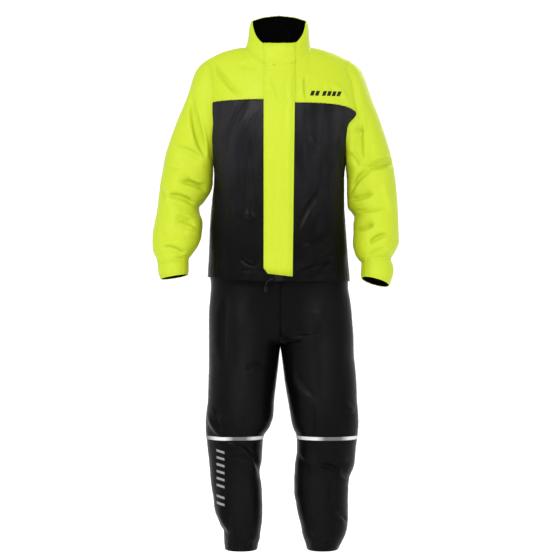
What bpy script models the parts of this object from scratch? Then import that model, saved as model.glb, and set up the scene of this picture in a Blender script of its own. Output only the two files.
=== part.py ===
"""A two-piece motorcycle rain suit, filled out as it is worn: a jacket in yellow and black
over black trousers. Metres, +Z up, the front faces -Y and the wearer's left is +X.
The origin lies between the shoulder seams, at the base of the neck.

Each garment is one smooth surface, cut along its seams into the pieces that are sewn
together. A piece is a thin wall: the surface's points and the same points moved inwards.
"""

import math

import bpy
import numpy as np

MM = 0.001
RIGHT, LEFT = -1, 1  # the wearer's sides, as the sign of x
FRONT, BACK = -1, 1  # the faces of the body, as the sign of y

WALL = 1.2 * MM  # one layer of coated cloth
DOUBLE = 1.8 * MM  # cloth folded double: collar, cuffs, flap and waistband
SEAM_GAP = 0.3 * MM
LAID_ON = 0.8 * MM  # how far the flap's underside stands off the fronts
ZIP_UNDER = 0.01 * MM  # how far the zip's outside lies under the fronts'
BAND_WALL = 0.6 * MM
LINING = 1 * MM
SHARP_ANGLE = math.radians(40)  # a steeper edge is drawn sharp
SHARP_CREASE = 0.5  # two walls whose directions agree less than this part at their seam

# The jacket's main lines
UNDERARM_Z = -335 * MM
SHOULDER_POINT_Z = -41 * MM
SHOULDER_POINT_X = {RIGHT: 217.5 * MM, LEFT: 209 * MM}
NECK_POINT_X = {RIGHT: 96.5 * MM, LEFT: 91 * MM}
SHOULDER_CURVE = {RIGHT: 1.85, LEFT: 1.5}  # how late the shoulder line drops
NECK_DROP = {FRONT: 60 * MM, BACK: 8 * MM}
NECK_CURVE = {FRONT: 2, BACK: 1}
NECK_RISE = 35 * MM  # how far the shoulders' crown would rise over the neck's middle
CROWN_START_Z = -300 * MM  # where the chest begins to round over to the shoulder
CROWN_POWER = 2.5
SECTION_POWER = 2.4  # how square the body's horizontal sections are
ARMHOLE_REACH = 0.5  # the armhole's half-width as a share of the body's depth
ARMHOLE_PULL = 8  # how closely the armhole's line is kept to the panel's edge
ZIP_HALF = 12 * MM
NECK_SHARE = 0.5  # the share of a panel's columns that end at the neck

# The black lower panels end at the yoke seam: its height at the centre and the armhole
YOKE_Z = {
    (RIGHT, FRONT): (-158 * MM, -162 * MM),
    (LEFT, FRONT): (-168 * MM, -192 * MM),
    (RIGHT, BACK): (-165 * MM, -170 * MM),
    (LEFT, BACK): (-165 * MM, -170 * MM),
}
YOKE_CURVE = {RIGHT: 2, LEFT: 5}
HEM_Z = {RIGHT: -664 * MM, LEFT: -676 * MM}  # at the side seams
HEM_MIDDLE_Z = -677 * MM

# The trousers' main lines
CROTCH_X = 4 * MM
CROTCH_Z = -858 * MM
CROTCH_TOP_Z = -790 * MM  # where the centre seams begin to curve under
LEG_BLEND_Z = (-735 * MM, -960 * MM)  # where the trunk's section turns into a leg's
SEAM_REACH = 0.4  # the share of a panel over which its seam's own shape fades
WAIST_SEAM_Z = -585 * MM
WAIST_TOP_Z = -545 * MM
TRUNK_POWER = 2.3
LEG_POWER = 2.15
BAND_TOP_Z = -1121.5 * MM
BAND_BOTTOM_Z = -1131.5 * MM
TROUSER_HEM_Z = -1452 * MM

# Storm flap and hem cord
FLAP_RIGHT_X = -43.5 * MM
FLAP_TOP_X = 47 * MM
FLAP_BOTTOM_X = 38.5 * MM
FLAP_BOTTOM_Z = -658.5 * MM
FLAP_SLANT = 0.12
FLAP_CORNER = (12 * MM, 14 * MM)  # how much is cut off its lower corner, across and up
ROW_CLEAR = 4 * MM  # the least distance between a strip's last two rows
CORD_RADIUS = 1.3 * MM
CORD_SIDES = 2  # the curve's bevel resolution
CORD_POINTS = 14
EYELET_X, EYELET_Z = -20 * MM, -668 * MM
EYELET_RADIUS, EYELET_HOLE, EYELET_DEPTH = 5 * MM, 1.8 * MM, 1.6 * MM
TOGGLE_LENGTH, TOGGLE_RADIUS = 16 * MM, 5 * MM
TOGGLE_PROFILE = ((0.6, 0), (1, 0.12), (1, 0.8), (0.75, 1))  # shares of its radius and length
ROUND_SPANS = 16  # of the eyelet and the toggle


def table(names, *rows):
    """The columns of a table by name, in metres, from rows in millimetres."""
    columns = np.array(rows, float).T * MM
    return dict(zip(names.split(), columns, strict=True))


# Horizontal sections of the jacket's body, from below the hem to above the shoulders
BODY = table(
    "z right left front back",
    (-700, 211, 208, 154, 156),
    (-640, 205, 202, 150, 149),
    (-570, 202, 197, 145, 137),
    (-500, 199, 192, 140, 124),
    (-440, 193, 189, 138, 119),
    (-390, 188, 189, 138, 120),
    (-335, 190.5, 194, 139, 124),
    (-290, 199, 200, 138, 128),
    (-250, 205, 209, 136, 130),
    (-226, 206, 217, 134, 131),
    (-192, 211, 245, 132, 132),
    (-150, 213, 241, 129, 131),
    (-100, 216, 232, 124, 128),
    (-41, 217.5, 209, 118, 124),
    (40, 217.5, 209, 116, 122),
)

# Sections across each sleeve, shoulder to cuff: where its outer and inner lines lie from
# the front, half its depth, how far it swings forward and how much its front edge is raised
SLEEVE = {
    RIGHT: table(
        "x_out z_out x_in z_in depth forward raised",
        (217.5, -41, 190.5, -335, 60, 0, 0),
        (235, -59, 191, -341, 64, 0, 0),
        (248, -84, 191, -348, 68, 0, 0),
        (258, -116, 191, -357, 72, -1, 0),
        (271, -154, 191, -367, 75, -2, 0),
        (287, -191, 192, -377, 78, -3, 0),
        (303, -232, 192, -389, 80, -4, 0),
        (319, -278, 194, -403, 80, -4, 0),
        (331, -319, 199, -418, 80, -4, 1),
        (338, -360, 209, -434, 78, -3, 3),
        (345, -400, 220, -450, 76, 0, 5),
        (349, -441, 231, -465, 73, 4, 6),
        (354, -479, 228, -484, 73, 10, 7),
        (361, -516, 221, -508, 73, 17, 8),
        (365, -551, 223, -537, 71, 26, 8),
        (364, -583, 230, -566, 66, 35, 7),
        (354, -608, 249, -597, 56, 42, 5),
        (349, -628, 260, -618, 49, 47, 4),
        (347, -647, 260, -637, 48, 52, 4),
        (339, -671, 261, -658, 46, 58, 4),
    ),
    LEFT: table(
        "x_out z_out x_in z_in depth forward raised",
        (209, -41, 194, -335, 60, 0, 0),
        (231, -57, 194, -342, 64, 0, 0),
        (245, -81, 194, -351, 68, 0, 0),
        (258, -116, 195, -361, 72, -1, 0),
        (271, -154, 196, -374, 75, -2, 0),
        (286, -191, 197, -389, 78, -3, 0),
        (300, -232, 197, -405, 80, -4, 0),
        (315, -278, 197, -422, 80, -4, 0),
        (326, -319, 198, -441, 80, -4, 1),
        (334, -360, 199, -460, 78, -2, 3),
        (339, -400, 212, -479, 76, 2, 5),
        (342, -438, 218, -494, 74, 7, 7),
        (344, -476, 215, -513, 73, 14, 8),
        (345, -516, 215, -537, 72, 22, 9),
        (346, -554, 213, -561, 69, 31, 9),
        (340, -580, 217, -589, 62, 40, 9),
        (327, -603, 229, -613, 54, 47, 8),
        (322, -616, 237, -626, 49, 51, 7),
        (329, -644, 236, -650, 50, 58, 8),
        (316, -689, 236, -667, 47, 67, 10),
    ),
}
CUFF_ROW = 17  # the sleeve table's row where the cuff is sewn on
SLEEVE_END = 19
SLEEVE_POWER = 2.15
CAP_ROWS = 6  # the rows over which the armhole's own shape fades out

# The collar's top edge: its height by the angle from the centre front
COLLAR_EDGE = table(
    "turn z",
    (0, 5),
    (24, 6),
    (34, 11),
    (42, 18.5),
    (51, 29),
    (60, 42),
    (68, 57),
    (76, 70),
    (90, 78),
    (120, 88),
    (150, 99),
    (180, 104.5),
)
COLLAR_HALF_WIDTH = 87 * MM
COLLAR_DEPTH = {FRONT: 84 * MM, BACK: 87 * MM}
COLLAR_FLARE = 3  # how soon the collar stands up from the neck seam
COLLAR_ROLL = 0.1  # the share by which its top edge draws in

# Horizontal sections of the trousers above the crotch
TRUNK = table(
    "z right left front back",
    (-905, 203, 216, 118, 122),
    (-860, 203, 216, 122, 130),
    (-790, 203, 212, 124, 138),
    (-730, 200, 206, 125, 136),
    (-690, 197, 200, 125, 128),
    (-636, 202.9, 200.1, 125, 121),
    (-610, 188, 185, 118, 113),
    (-585, 168, 164, 109, 104),
    (-545, 165, 161, 106, 101),
)

# Sections of each leg: its outer and inner lines from the front, depths and middle
LEGS = {
    RIGHT: table(
        "z x_out x_in front back middle",
        (-1470, 154, 64, 68, 72, 0),
        (-1438, 158, 61, 69, 73, 0),
        (-1421, 159, 56, 70, 74, 0),
        (-1404, 159.5, 54, 71, 75, 0),
        (-1386, 168, 51, 74, 77, 0),
        (-1369, 175, 49, 77, 79, 0),
        (-1334, 187, 48, 80, 82, 1),
        (-1299, 191, 49, 82, 84, 2),
        (-1264, 197, 51, 83, 86, 2),
        (-1230, 200, 56, 83, 87, 1),
        (-1195, 203, 50, 84, 88, 0),
        (-1160, 207, 48, 86, 88, -2),
        (-1126, 210, 44.5, 88, 88, -4),
        (-1108, 212, 33.5, 90, 90, -4),
        (-1090, 212, 24, 91, 92, -4),
        (-1056, 210, 16, 93, 96, -3),
        (-1021, 206, 14, 96, 101, -1),
        (-986, 205, 10, 100, 107, 0),
        (-951, 204, 6, 105, 113, 1),
        (-916, 203, 2, 110, 119, 2),
        (-882, 203, -1.5, 115, 125, 3),
        (-858, 203, -4, 116, 127, 3),
        (-780, 203, -4, 120, 132, 4),
    ),
    LEFT: table(
        "z x_out x_in front back middle",
        (-1470, 164, 84, 66, 70, 0),
        (-1438, 178, 78, 68, 72, 0),
        (-1421, 187, 72, 71, 74, 0),
        (-1404, 194, 67, 74, 76, 0),
        (-1386, 198, 64, 76, 78, 0),
        (-1351, 200, 55, 79, 80, 0),
        (-1317, 200, 49, 81, 83, 1),
        (-1282, 201, 44, 82, 85, 2),
        (-1247, 204, 44, 83, 86, 2),
        (-1230, 210, 45, 84, 87, 1),
        (-1212, 217, 46, 84, 88, 0),
        (-1195, 220, 48, 84, 88, 0),
        (-1160, 223, 52, 86, 88, -2),
        (-1126, 227, 51, 88, 88, -4),
        (-1108, 229, 44, 90, 90, -4),
        (-1090, 230, 38, 91, 92, -4),
        (-1056, 229, 32, 93, 96, -3),
        (-1021, 226, 26, 96, 101, -1),
        (-986, 225, 20, 100, 107, 0),
        (-951, 223, 15, 105, 113, 1),
        (-916, 220, 11, 110, 119, 2),
        (-882, 217, 6.5, 115, 125, 3),
        (-858, 216.5, 4, 116, 127, 3),
        (-780, 212, 4, 120, 132, 4),
    ),
}

# The largest folds, each a soft ridge or, with a height below 0, a trough that runs
# between two places seen from the front: cloth, face, x, z, to x, to z, width, height
FOLDS = (
    ("body", FRONT, -186, -44, -114, -137, 20, -9),
    ("body", FRONT, -97, -203, -154, -336, 24, 7),
    ("body", FRONT, -75, -212, -93, -310, 18, 5),
    ("body", FRONT, -93, -310, -84, -479, 22, 7),
    ("body", FRONT, -110, -487, -70, -505, 20, 7),
    ("body", FRONT, -110, -606, -68, -625, 20, -7),
    ("body", FRONT, 136, -416, 62, -528, 26, -8),
    ("body", FRONT, 85, -290, 115, -430, 26, 7),
    ("body", FRONT, 140, -598, 69, -643, 22, -8),
    ("body", FRONT, 150, -560, 75, -600, 20, 6),
    ("body", BACK, -120, -230, -60, -420, 30, 8),
    ("body", BACK, 110, -240, 60, -450, 30, 8),
    ("body", BACK, 10, -250, -20, -520, 30, -7),
    ("body", BACK, -150, -560, -30, -610, 24, -8),
    ("body", BACK, 150, -530, 40, -590, 24, -8),
    (RIGHT, FRONT, -248, -150, -217, -301, 18, -12),
    (RIGHT, FRONT, -297, -301, -230, -332, 19, -9),
    (RIGHT, FRONT, -274, -386, -212, -416, 18, -11),
    (RIGHT, FRONT, -314, -434, -250, -452, 18, -12),
    (RIGHT, FRONT, -288, -492, -252, -519, 17, -8),
    (RIGHT, FRONT, -328, -585, -274, -608, 14, -9),
    (RIGHT, BACK, -320, -400, -240, -430, 20, -9),
    (RIGHT, BACK, -330, -470, -250, -500, 20, -8),
    (RIGHT, BACK, -300, -300, -230, -370, 22, -7),
    (LEFT, FRONT, 327, -336, 255, -350, 17, -11),
    (LEFT, FRONT, 255, -350, 216, -408, 18, -11),
    (LEFT, FRONT, 229, -244, 246, -345, 20, -13),
    (LEFT, FRONT, 260, -425, 207, -441, 16, -11),
    (LEFT, FRONT, 264, -514, 220, -525, 16, -12),
    (LEFT, FRONT, 300, -545, 264, -563, 14, -9),
    (LEFT, BACK, 320, -400, 240, -440, 20, -9),
    (LEFT, BACK, 330, -490, 240, -515, 20, -8),
    (LEFT, BACK, 310, -290, 230, -350, 22, -7),
    ("legs", FRONT, -107, -700, -101, -1030, 36, 9),
    ("legs", FRONT, -203, -1060, -160, -1128, 22, 9),
    ("legs", FRONT, -170, -1150, -75, -1192, 22, 9),
    ("legs", FRONT, 120, -740, 122, -1110, 34, 9),
    ("legs", FRONT, 55, -780, 110, -818, 28, -10),
    ("legs", FRONT, 32, -870, 95, -980, 30, -9),
    ("legs", FRONT, 120, -1200, 165, -1222, 18, -9),
    ("legs", FRONT, -110, -1230, -150, -1370, 24, -9),
    ("legs", FRONT, 150, -1250, 115, -1380, 24, -8),
    ("legs", BACK, -60, -850, -130, -960, 28, -9),
    ("legs", BACK, 60, -850, 140, -960, 28, -9),
    ("legs", BACK, -170, -1190, -80, -1220, 22, -9),
    ("legs", BACK, 80, -1190, 180, -1215, 22, -9),
    ("legs", BACK, -120, -1260, -140, -1400, 26, 7),
    ("legs", BACK, 120, -1260, 130, -1400, 26, 7),
)
FOLD_FADE = 0.25  # the share of a fold's length over which it fades at each end

COLOURS = {  # base colour in linear light, roughness, metallic
    "hi_vis_cloth": ((0.70, 0.87, 0.05), 0.62, 0.0),
    "black_cloth": ((0.012, 0.012, 0.013), 0.42, 0.0),
    "black_lining": ((0.006, 0.006, 0.006), 0.85, 0.0),
    "zip_tape": ((0.015, 0.015, 0.016), 0.7, 0.0),
    "reflective_tape": ((0.45, 0.45, 0.46), 0.35, 0.2),
    "cord": ((0.01, 0.01, 0.01), 0.8, 0.0),
    "toggle_plastic": ((0.02, 0.02, 0.02), 0.35, 0.0),
}


def smooth(at, known, values):
    """Values between a table's rows, on a curve that never overshoots them."""
    step = np.diff(known)
    slope = np.diff(values) / step
    same_way = slope[:-1] * slope[1:] > 0
    total = np.where(same_way, slope[:-1] + slope[1:], 1)
    tangent = np.where(same_way, 2 * slope[:-1] * slope[1:] / total, 0)
    tangent = np.concatenate([slope[:1], tangent, slope[-1:]])
    at = np.clip(at, known[0], known[-1])
    row = np.clip(np.searchsorted(known, at, side="right") - 1, 0, len(step) - 1)
    share = (at - known[row]) / step[row]
    left = values[row] + step[row] * tangent[row] * share
    right = values[row + 1] - step[row] * tangent[row + 1] * (1 - share)
    return left + (right - left) * ease(share)


def ease(share):
    """A share held between 0 and 1, with a soft start and end."""
    share = np.clip(share, 0, 1)
    return share * share * (3 - 2 * share)


def side_name(side):
    return "right" if side == RIGHT else "left"


def face_name(face):
    return "front" if face == FRONT else "back"


def fold_shift(cloth, face, x, z):
    """How far the folds of one cloth move it outwards at places seen from the front."""
    shift = np.zeros(np.broadcast(x, z).shape)
    for name, on_face, *sizes in FOLDS:
        if name != cloth or on_face != face:
            continue
        x0, z0, x1, z1, width, height = (size * MM for size in sizes)
        length = math.hypot(x1 - x0, z1 - z0)
        ux, uz = (x1 - x0) / length, (z1 - z0) / length
        along = ((x - x0) * ux + (z - z0) * uz) / length
        across = (x - x0) * uz - (z - z0) * ux
        ends = ease((0.5 + FOLD_FADE - abs(along - 0.5)) / (2 * FOLD_FADE))
        shift = shift + height * np.exp(-((across / width) ** 2)) * ends
    return shift


def shoulder_line(x, side):
    """Height of the shoulder's crown over a distance from the middle of the body."""
    neck, point = NECK_POINT_X[side], SHOULDER_POINT_X[side]
    outside = np.clip((x - neck) / (point - neck), 0, None) ** SHOULDER_CURVE[side]
    inside = np.clip(1 - (x / neck) ** 2, 0, None)
    return SHOULDER_POINT_Z * outside + NECK_RISE * inside


def crown(z, top):
    """The share of the body's depth that is left at a height, nothing at the top."""
    climb = np.clip((z - CROWN_START_Z) / (top - CROWN_START_Z), 0, 1)
    return (1 - climb**CROWN_POWER) ** (1 / CROWN_POWER)


def body_face(x, z, side, face):
    """The jacket body's y at a distance x from the middle and a height z, and its weight.

    The section at that height is a superellipse, and the chest's depth rounds off to
    nothing at the shoulder line, also as a superellipse.
    """
    width = smooth(z, BODY["z"], BODY[side_name(side)])
    section = np.clip(1 - (x / width) ** SECTION_POWER, 0, 1) ** (1 / SECTION_POWER)
    weight = section * crown(z, shoulder_line(x, side))
    return face * weight * smooth(z, BODY["z"], BODY[face_name(face)]), weight


def armhole_angle(side, face, level):
    """The angle up the armhole, pi at the underarm and 0 at the shoulder point.

    The levels 1 to 2 run from the underarm to the yoke seam, and 2 to 3 on to the shoulder.
    """
    middle, rise = armhole_middle()
    at_yoke = math.acos((YOKE_Z[side, face][1] - middle) / rise)
    below = math.pi + (at_yoke - math.pi) * np.clip(level - 1, 0, 1)
    return np.where(level < 2, below, at_yoke * (3 - level))


def armhole_middle():
    """The height of the armhole's middle, and half its height."""
    return (SHOULDER_POINT_Z + UNDERARM_Z) / 2, (SHOULDER_POINT_Z - UNDERARM_Z) / 2


def armhole_x(side, angle):
    """How far from the middle of the body the armhole's edge lies.

    Its front and back lie where the body is deep enough for an even oval.
    """
    middle, rise = armhole_middle()
    z = middle + rise * np.cos(angle)
    width = smooth(z, BODY["z"], BODY[side_name(side)])
    reach = ARMHOLE_REACH * np.sin(angle) / np.maximum(crown(z, SHOULDER_POINT_Z), 0.1)
    return width * (1 - np.minimum(reach, 0.9) ** SECTION_POWER) ** (1 / SECTION_POWER)


def body_quarter(side, face, across, level):
    """Points of one quarter of the jacket's body.

    across runs from the centre (0) to the side seam and armhole (1). level runs from the
    hem (0) past the underarm (1) and the yoke seam (2) to the shoulder and neck (3).
    """
    across, level = np.asarray(across)[None, :], np.asarray(level)[:, None]
    start = ZIP_HALF if face == FRONT else 0.0
    spread = np.sin(across * math.pi / 2)
    angle = armhole_angle(side, face, np.clip(level, 1, 3))
    middle, rise = armhole_middle()
    arm_z = middle + rise * np.cos(angle)
    arm_x = armhole_x(side, angle)

    neck_turn = np.clip(across / NECK_SHARE, 0, 1) * math.pi / 2
    neck, point = NECK_POINT_X[side], SHOULDER_POINT_X[side]
    along_shoulder = np.clip((across - NECK_SHARE) / (1 - NECK_SHARE), 0, 1)
    top_x = start + (neck - start) * np.sin(neck_turn) + (point - neck) * along_shoulder
    on_neck = -NECK_DROP[face] * np.cos(neck_turn) ** NECK_CURVE[face]
    top_z = np.where(across < NECK_SHARE, on_neck, shoulder_line(top_x, side))

    yoke_mid, yoke_arm = YOKE_Z[side, face]
    yoke_z = yoke_mid + (yoke_arm - yoke_mid) * across ** YOKE_CURVE[side]
    hem_z = HEM_MIDDLE_Z + (HEM_Z[side] - HEM_MIDDLE_Z) * spread**2
    body_z = hem_z + (UNDERARM_Z - hem_z) * np.clip(level, 0, 1)
    chest_z = UNDERARM_Z + (yoke_z - UNDERARM_Z) * (arm_z - UNDERARM_Z) / (yoke_arm - UNDERARM_Z)
    upper_z = yoke_z + (top_z - yoke_z) * (arm_z - yoke_arm) / (SHOULDER_POINT_Z - yoke_arm)
    z = np.where(level <= 1, body_z, np.where(level <= 2, chest_z, upper_z))

    climb = (arm_z - UNDERARM_Z) / (SHOULDER_POINT_Z - UNDERARM_Z)
    width = smooth(np.minimum(z, UNDERARM_Z), BODY["z"], BODY[side_name(side)])
    low_x = start + (width - start) * spread
    pulled = arm_x - (1 - climb) * width[:, -1:] - climb * point
    high_x = (1 - climb) * low_x + climb * top_x + pulled * spread**ARMHOLE_PULL
    x = np.where(level <= 1, low_x, high_x)

    y, weight = body_face(x, z, side, face)
    edge = np.where(level > 1, 1 - spread**8, 1) * np.clip((3 - level) * 2, 0, 1)
    y = y + face * weight * edge * fold_shift("body", face, side * x, z)
    return np.stack([side * x, y, z + 0 * x], -1)


def collar_quarter(side, face, across, height):
    """Points of one quarter of the collar, from the centre (0) to the neck point (1)."""
    base = body_quarter(side, face, np.asarray(across) * NECK_SHARE, [3.0])
    turn = np.asarray(across)[None, :] * math.pi / 2
    height = np.asarray(height)[:, None]
    start = ZIP_HALF if face == FRONT else 0.0
    degrees = np.degrees(turn) if face == FRONT else 180 - np.degrees(turn)
    roll = 1 - COLLAR_ROLL * height**6
    top_x = side * (start + (COLLAR_HALF_WIDTH - start) * np.sin(turn) * roll)
    top_y = face * COLLAR_DEPTH[face] * np.cos(turn) * roll
    top_z = smooth(degrees * MM, COLLAR_EDGE["turn"], COLLAR_EDGE["z"])
    quickly = 1 - (1 - height) ** COLLAR_FLARE
    x = base[..., 0] + (top_x - base[..., 0]) * quickly
    y = base[..., 1] + (top_y - base[..., 1]) * quickly
    z = base[..., 2] + (top_z - base[..., 2]) * height
    return np.stack([x, y, z], -1)


def around_armhole(side, chest, yoke):
    """The armhole's angle and points, from the underarm up the front and down the back."""
    levels = np.concatenate([np.linspace(1, 2, chest + 1), np.linspace(2, 3, yoke + 1)[1:]])
    front = body_quarter(side, FRONT, [1.0], levels)[:, 0]
    back = body_quarter(side, BACK, [1.0], levels)[:, 0]
    angle = armhole_angle(side, FRONT, levels)
    behind = 2 * math.pi - armhole_angle(side, BACK, levels)
    points = np.concatenate([front, back[::-1][1:]])
    return np.concatenate([angle, behind[::-1][1:]]), points


def oval(angle, power):
    """The cosine and sine of an angle, squared off as a superellipse's are."""
    c, s = np.cos(angle), np.sin(angle)
    return (
        np.sign(c) * abs(c) ** (2 / power),
        np.sign(s) * abs(s) ** (2 / power),
    )


def sleeve_rings(side, stations, chest, yoke):
    """Rings across a sleeve, each an oval between its outer and its inner line.

    The armhole's own shape fades out of the rings over the sleeve's cap.
    """
    rows = SLEEVE[side]
    known = np.arange(len(rows["depth"]), dtype=float)
    at = {name: smooth(stations, known, rows[name])[:, None] for name in rows}
    angle, armhole = around_armhole(side, chest, yoke)
    out, forth = oval(angle[None, :], SLEEVE_POWER)

    def ring(size):
        x = (size["x_out"] + size["x_in"]) / 2 + (size["x_out"] - size["x_in"]) / 2 * out
        z = (size["z_out"] + size["z_in"]) / 2 + (size["z_out"] - size["z_in"]) / 2 * out
        y = -size["forward"] - size["depth"] * forth
        return np.stack([side * x, y + 0 * x, z + size["raised"] * forth], -1)

    first = ring({name: rows[name][:1, None] for name in rows})
    fade = np.clip(1 - stations / CAP_ROWS, 0, 1)[:, None, None] ** 2
    rings = ring(at) + fade * (armhole[None] - first)
    clear = np.clip(stations / 2, 0, 1)[:, None]
    for face, part in ((FRONT, forth > 0), (BACK, forth < 0)):
        shift = fold_shift(side, face, rings[..., 0], rings[..., 2])
        rings[..., 1] += face * shift * abs(forth) * part * clear
    return rings


def leg_quarter(side, face, across, levels):
    """Points of one trouser panel, from its inner seam (0) to its side seam (1).

    A level is a height and how far the inner seam has turned from the trunk's centre to a
    leg, 0 to 1. Away from that seam the section turns over a longer stretch.
    """
    across = np.asarray(across)[None, :]
    turn = across * math.pi
    z, seam_share = (np.array(column)[:, None] for column in zip(*levels, strict=True))
    leg_share = ease((z - LEG_BLEND_Z[0]) / (LEG_BLEND_Z[1] - LEG_BLEND_Z[0]))
    leg_share = seam_share + (leg_share - seam_share) * ease(across / SEAM_REACH)
    trunk = {name: smooth(z, TRUNK["z"], TRUNK[name]) for name in TRUNK}
    leg = {name: smooth(z, LEGS[side]["z"], LEGS[side][name]) for name in LEGS[side]}

    spread = np.sin(turn / 2)
    trunk_x = side * CROTCH_X + (trunk[side_name(side)] - side * CROTCH_X) * spread
    section = np.clip(1 - spread**TRUNK_POWER, 0, 1) ** (1 / TRUNK_POWER)
    trunk_y = face * trunk[face_name(face)] * section

    out, forth = oval(math.pi - turn, LEG_POWER)
    leg_x = (leg["x_out"] + leg["x_in"]) / 2 + (leg["x_out"] - leg["x_in"]) / 2 * out
    leg_y = leg["middle"] + face * leg[face_name(face)] * forth

    x = side * ((1 - leg_share) * trunk_x + leg_share * leg_x)
    y = (1 - leg_share) * trunk_y + leg_share * leg_y
    weight = (1 - leg_share) * section + leg_share * forth
    y = y + face * weight * fold_shift("legs", face, x, z)
    return np.stack([x, y, z + 0 * x], -1)


# The trousers' rows: heights in millimetres, and angles down the crotch's curve in degrees
HIP_ROWS = (-585, -610, -636, -664, -710, -750)
CROTCH_TURNS = (0, 20, 40, 58, 74, 90)
THIGH_ROWS = (-890, -916, -951, -986, -1021, -1056, -1090)
SHIN_ROWS = (-1160, -1195, -1220, -1247, -1282, -1317, -1351, -1378, -1400, -1424)


def leg_levels():
    """The heights of the trousers' rows, with the share of a leg in each.

    The centre seam follows a quarter ellipse to the crotch point.
    """
    hips = [(z * MM, 0.0) for z in HIP_ROWS]
    curve = [math.radians(degrees) for degrees in CROTCH_TURNS]
    fall = CROTCH_TOP_Z - CROTCH_Z
    crotch = [(CROTCH_TOP_Z - fall * math.sin(a), 1 - math.cos(a)) for a in curve]
    thigh = [(z * MM, 1.0) for z in THIGH_ROWS]
    band = [(BAND_TOP_Z, 1.0), (BAND_BOTTOM_Z, 1.0)]
    return hips + crotch + thigh + band + [(z * MM, 1.0) for z in SHIN_ROWS] + [(TROUSER_HEM_Z, 1.0)]


def place(point):
    """A point's name among points that share a place."""
    return tuple(np.round(point, 6) + 0.0)


class Directions:
    """The outward direction of every point, shared where panels meet at a seam."""

    def __init__(self):
        self.sums = {}

    def add(self, group, grid, sign):
        """Adds the directions of a grid's faces to its group's points."""
        for r in range(len(grid) - 1):
            for c in range(len(grid[0]) - 1):
                a, b, d, e = grid[r, c], grid[r, c + 1], grid[r + 1, c + 1], grid[r + 1, c]
                normal = sign * np.cross(d - a, e - b)
                for corner in (a, b, d, e):
                    groups = self.sums.setdefault(place(corner), {})
                    groups[group] = groups.get(group, 0) + normal

    def outward(self, group, point):
        """The way out of the wall at a point, longer where a seam bends outwards.

        Two groups share their mean direction, so that their walls meet face to face. In a
        sharp crease, as under the arm, each keeps its own, because the walls part there.
        """
        groups = self.sums[place(point)]
        units = {name: total / np.linalg.norm(total) for name, total in groups.items()}
        own = units[group]
        mean = sum(units.values())
        mean = mean / max(np.linalg.norm(mean), 1e-9)
        agreement = float(own @ mean)
        return own if agreement < SHARP_CREASE else mean / agreement

    def grid(self, group, grid):
        return np.array([[self.outward(group, point) for point in row] for row in grid])


def pulled_in(grid, closed):
    """The grid with its edges pulled back by half a seam's gap."""
    moved = grid.copy()
    half = SEAM_GAP / 2

    def towards(edge, inner):
        step = inner - edge
        return half * step / np.linalg.norm(step, axis=-1, keepdims=True)

    moved[0] += towards(grid[0], grid[1])
    moved[-1] += towards(grid[-1], grid[-2])
    if not closed:
        moved[:, 0] += towards(grid[:, 0], grid[:, 1])
        moved[:, -1] += towards(grid[:, -1], grid[:, -2])
    return moved


def material(name):
    """The material with a name, made once."""
    found = bpy.data.materials.get(name)
    if found:
        return found
    made = bpy.data.materials.new(name)
    made.use_nodes = True
    colour, roughness, metallic = COLOURS[name]
    shader = made.node_tree.nodes["Principled BSDF"]
    shader.inputs["Base Color"].default_value = (*colour, 1)
    shader.inputs["Roughness"].default_value = roughness
    shader.inputs["Metallic"].default_value = metallic
    made.diffuse_color = (*colour, 1)
    return made


def mesh_object(name, points, faces, material_name):
    mesh = bpy.data.meshes.new(name)
    mesh.from_pydata([tuple(map(float, point)) for point in points], [], faces)
    mesh.update()
    mesh.shade_smooth()
    mesh.set_sharp_from_angle(angle=SHARP_ANGLE)
    mesh.materials.append(material(material_name))
    made = bpy.data.objects.new(name, mesh)
    bpy.context.scene.collection.objects.link(made)
    return made


def wall(name, outer, inner, sign, material_name, closed=False):
    """A thin closed solid between two grids of points. A closed grid's columns meet."""
    if closed:
        outer, inner = outer[:, :-1], inner[:, :-1]
    rows, columns = outer.shape[:2]
    count = rows * columns
    points = np.concatenate([outer.reshape(-1, 3), inner.reshape(-1, 3)])
    spans = columns if closed else columns - 1

    def at(r, c, layer=0):
        return layer * count + r * columns + c % columns

    faces = []
    for r in range(rows - 1):
        for c in range(spans):
            a, b, d, e = at(r, c), at(r, c + 1), at(r + 1, c + 1), at(r + 1, c)
            faces += [(a, b, d), (a, d, e)]
            faces += [(d + count, b + count, a + count), (e + count, d + count, a + count)]
    for c in range(spans):
        for r, turned in ((0, False), (rows - 1, True)):
            a, b = at(r, c), at(r, c + 1)
            quad = (b, a, a + count, b + count)
            faces.append(quad[::-1] if turned else quad)
    if not closed:
        for r in range(rows - 1):
            for c, turned in ((0, True), (columns - 1, False)):
                a, b = at(r, c), at(r + 1, c)
                quad = (b, a, a + count, b + count)
                faces.append(quad[::-1] if turned else quad)
    if sign < 0:
        faces = [face[::-1] for face in faces]
    return mesh_object(name, points, faces, material_name)


def sewn(name, group, grid, sign, material_name, directions, closed=False, thick=WALL):
    """A panel whose outside is the grid, pulled back from its seams."""
    out = directions.grid(group, grid)
    edge = pulled_in(grid, closed)
    return wall(name, edge, edge - thick * out, sign, material_name, closed)


def laid(name, group, grid, sign, material_name, directions, near, thick, closed=False):
    """A layer over a panel, or under it with near below 0, made from its points."""
    out = directions.grid(group, grid)
    far = near + thick if near > 0 else near - thick
    above, below = grid + max(near, far) * out, grid + min(near, far) * out
    return wall(name, above, below, sign, material_name, closed)


def across_back(maker, across, levels):
    """A grid over both back quarters, from the right side to the left."""
    right = maker(RIGHT, BACK, across, levels)[:, ::-1]
    left = maker(LEFT, BACK, across, levels)
    return np.concatenate([right, left[:, 1:]], 1)


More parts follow.
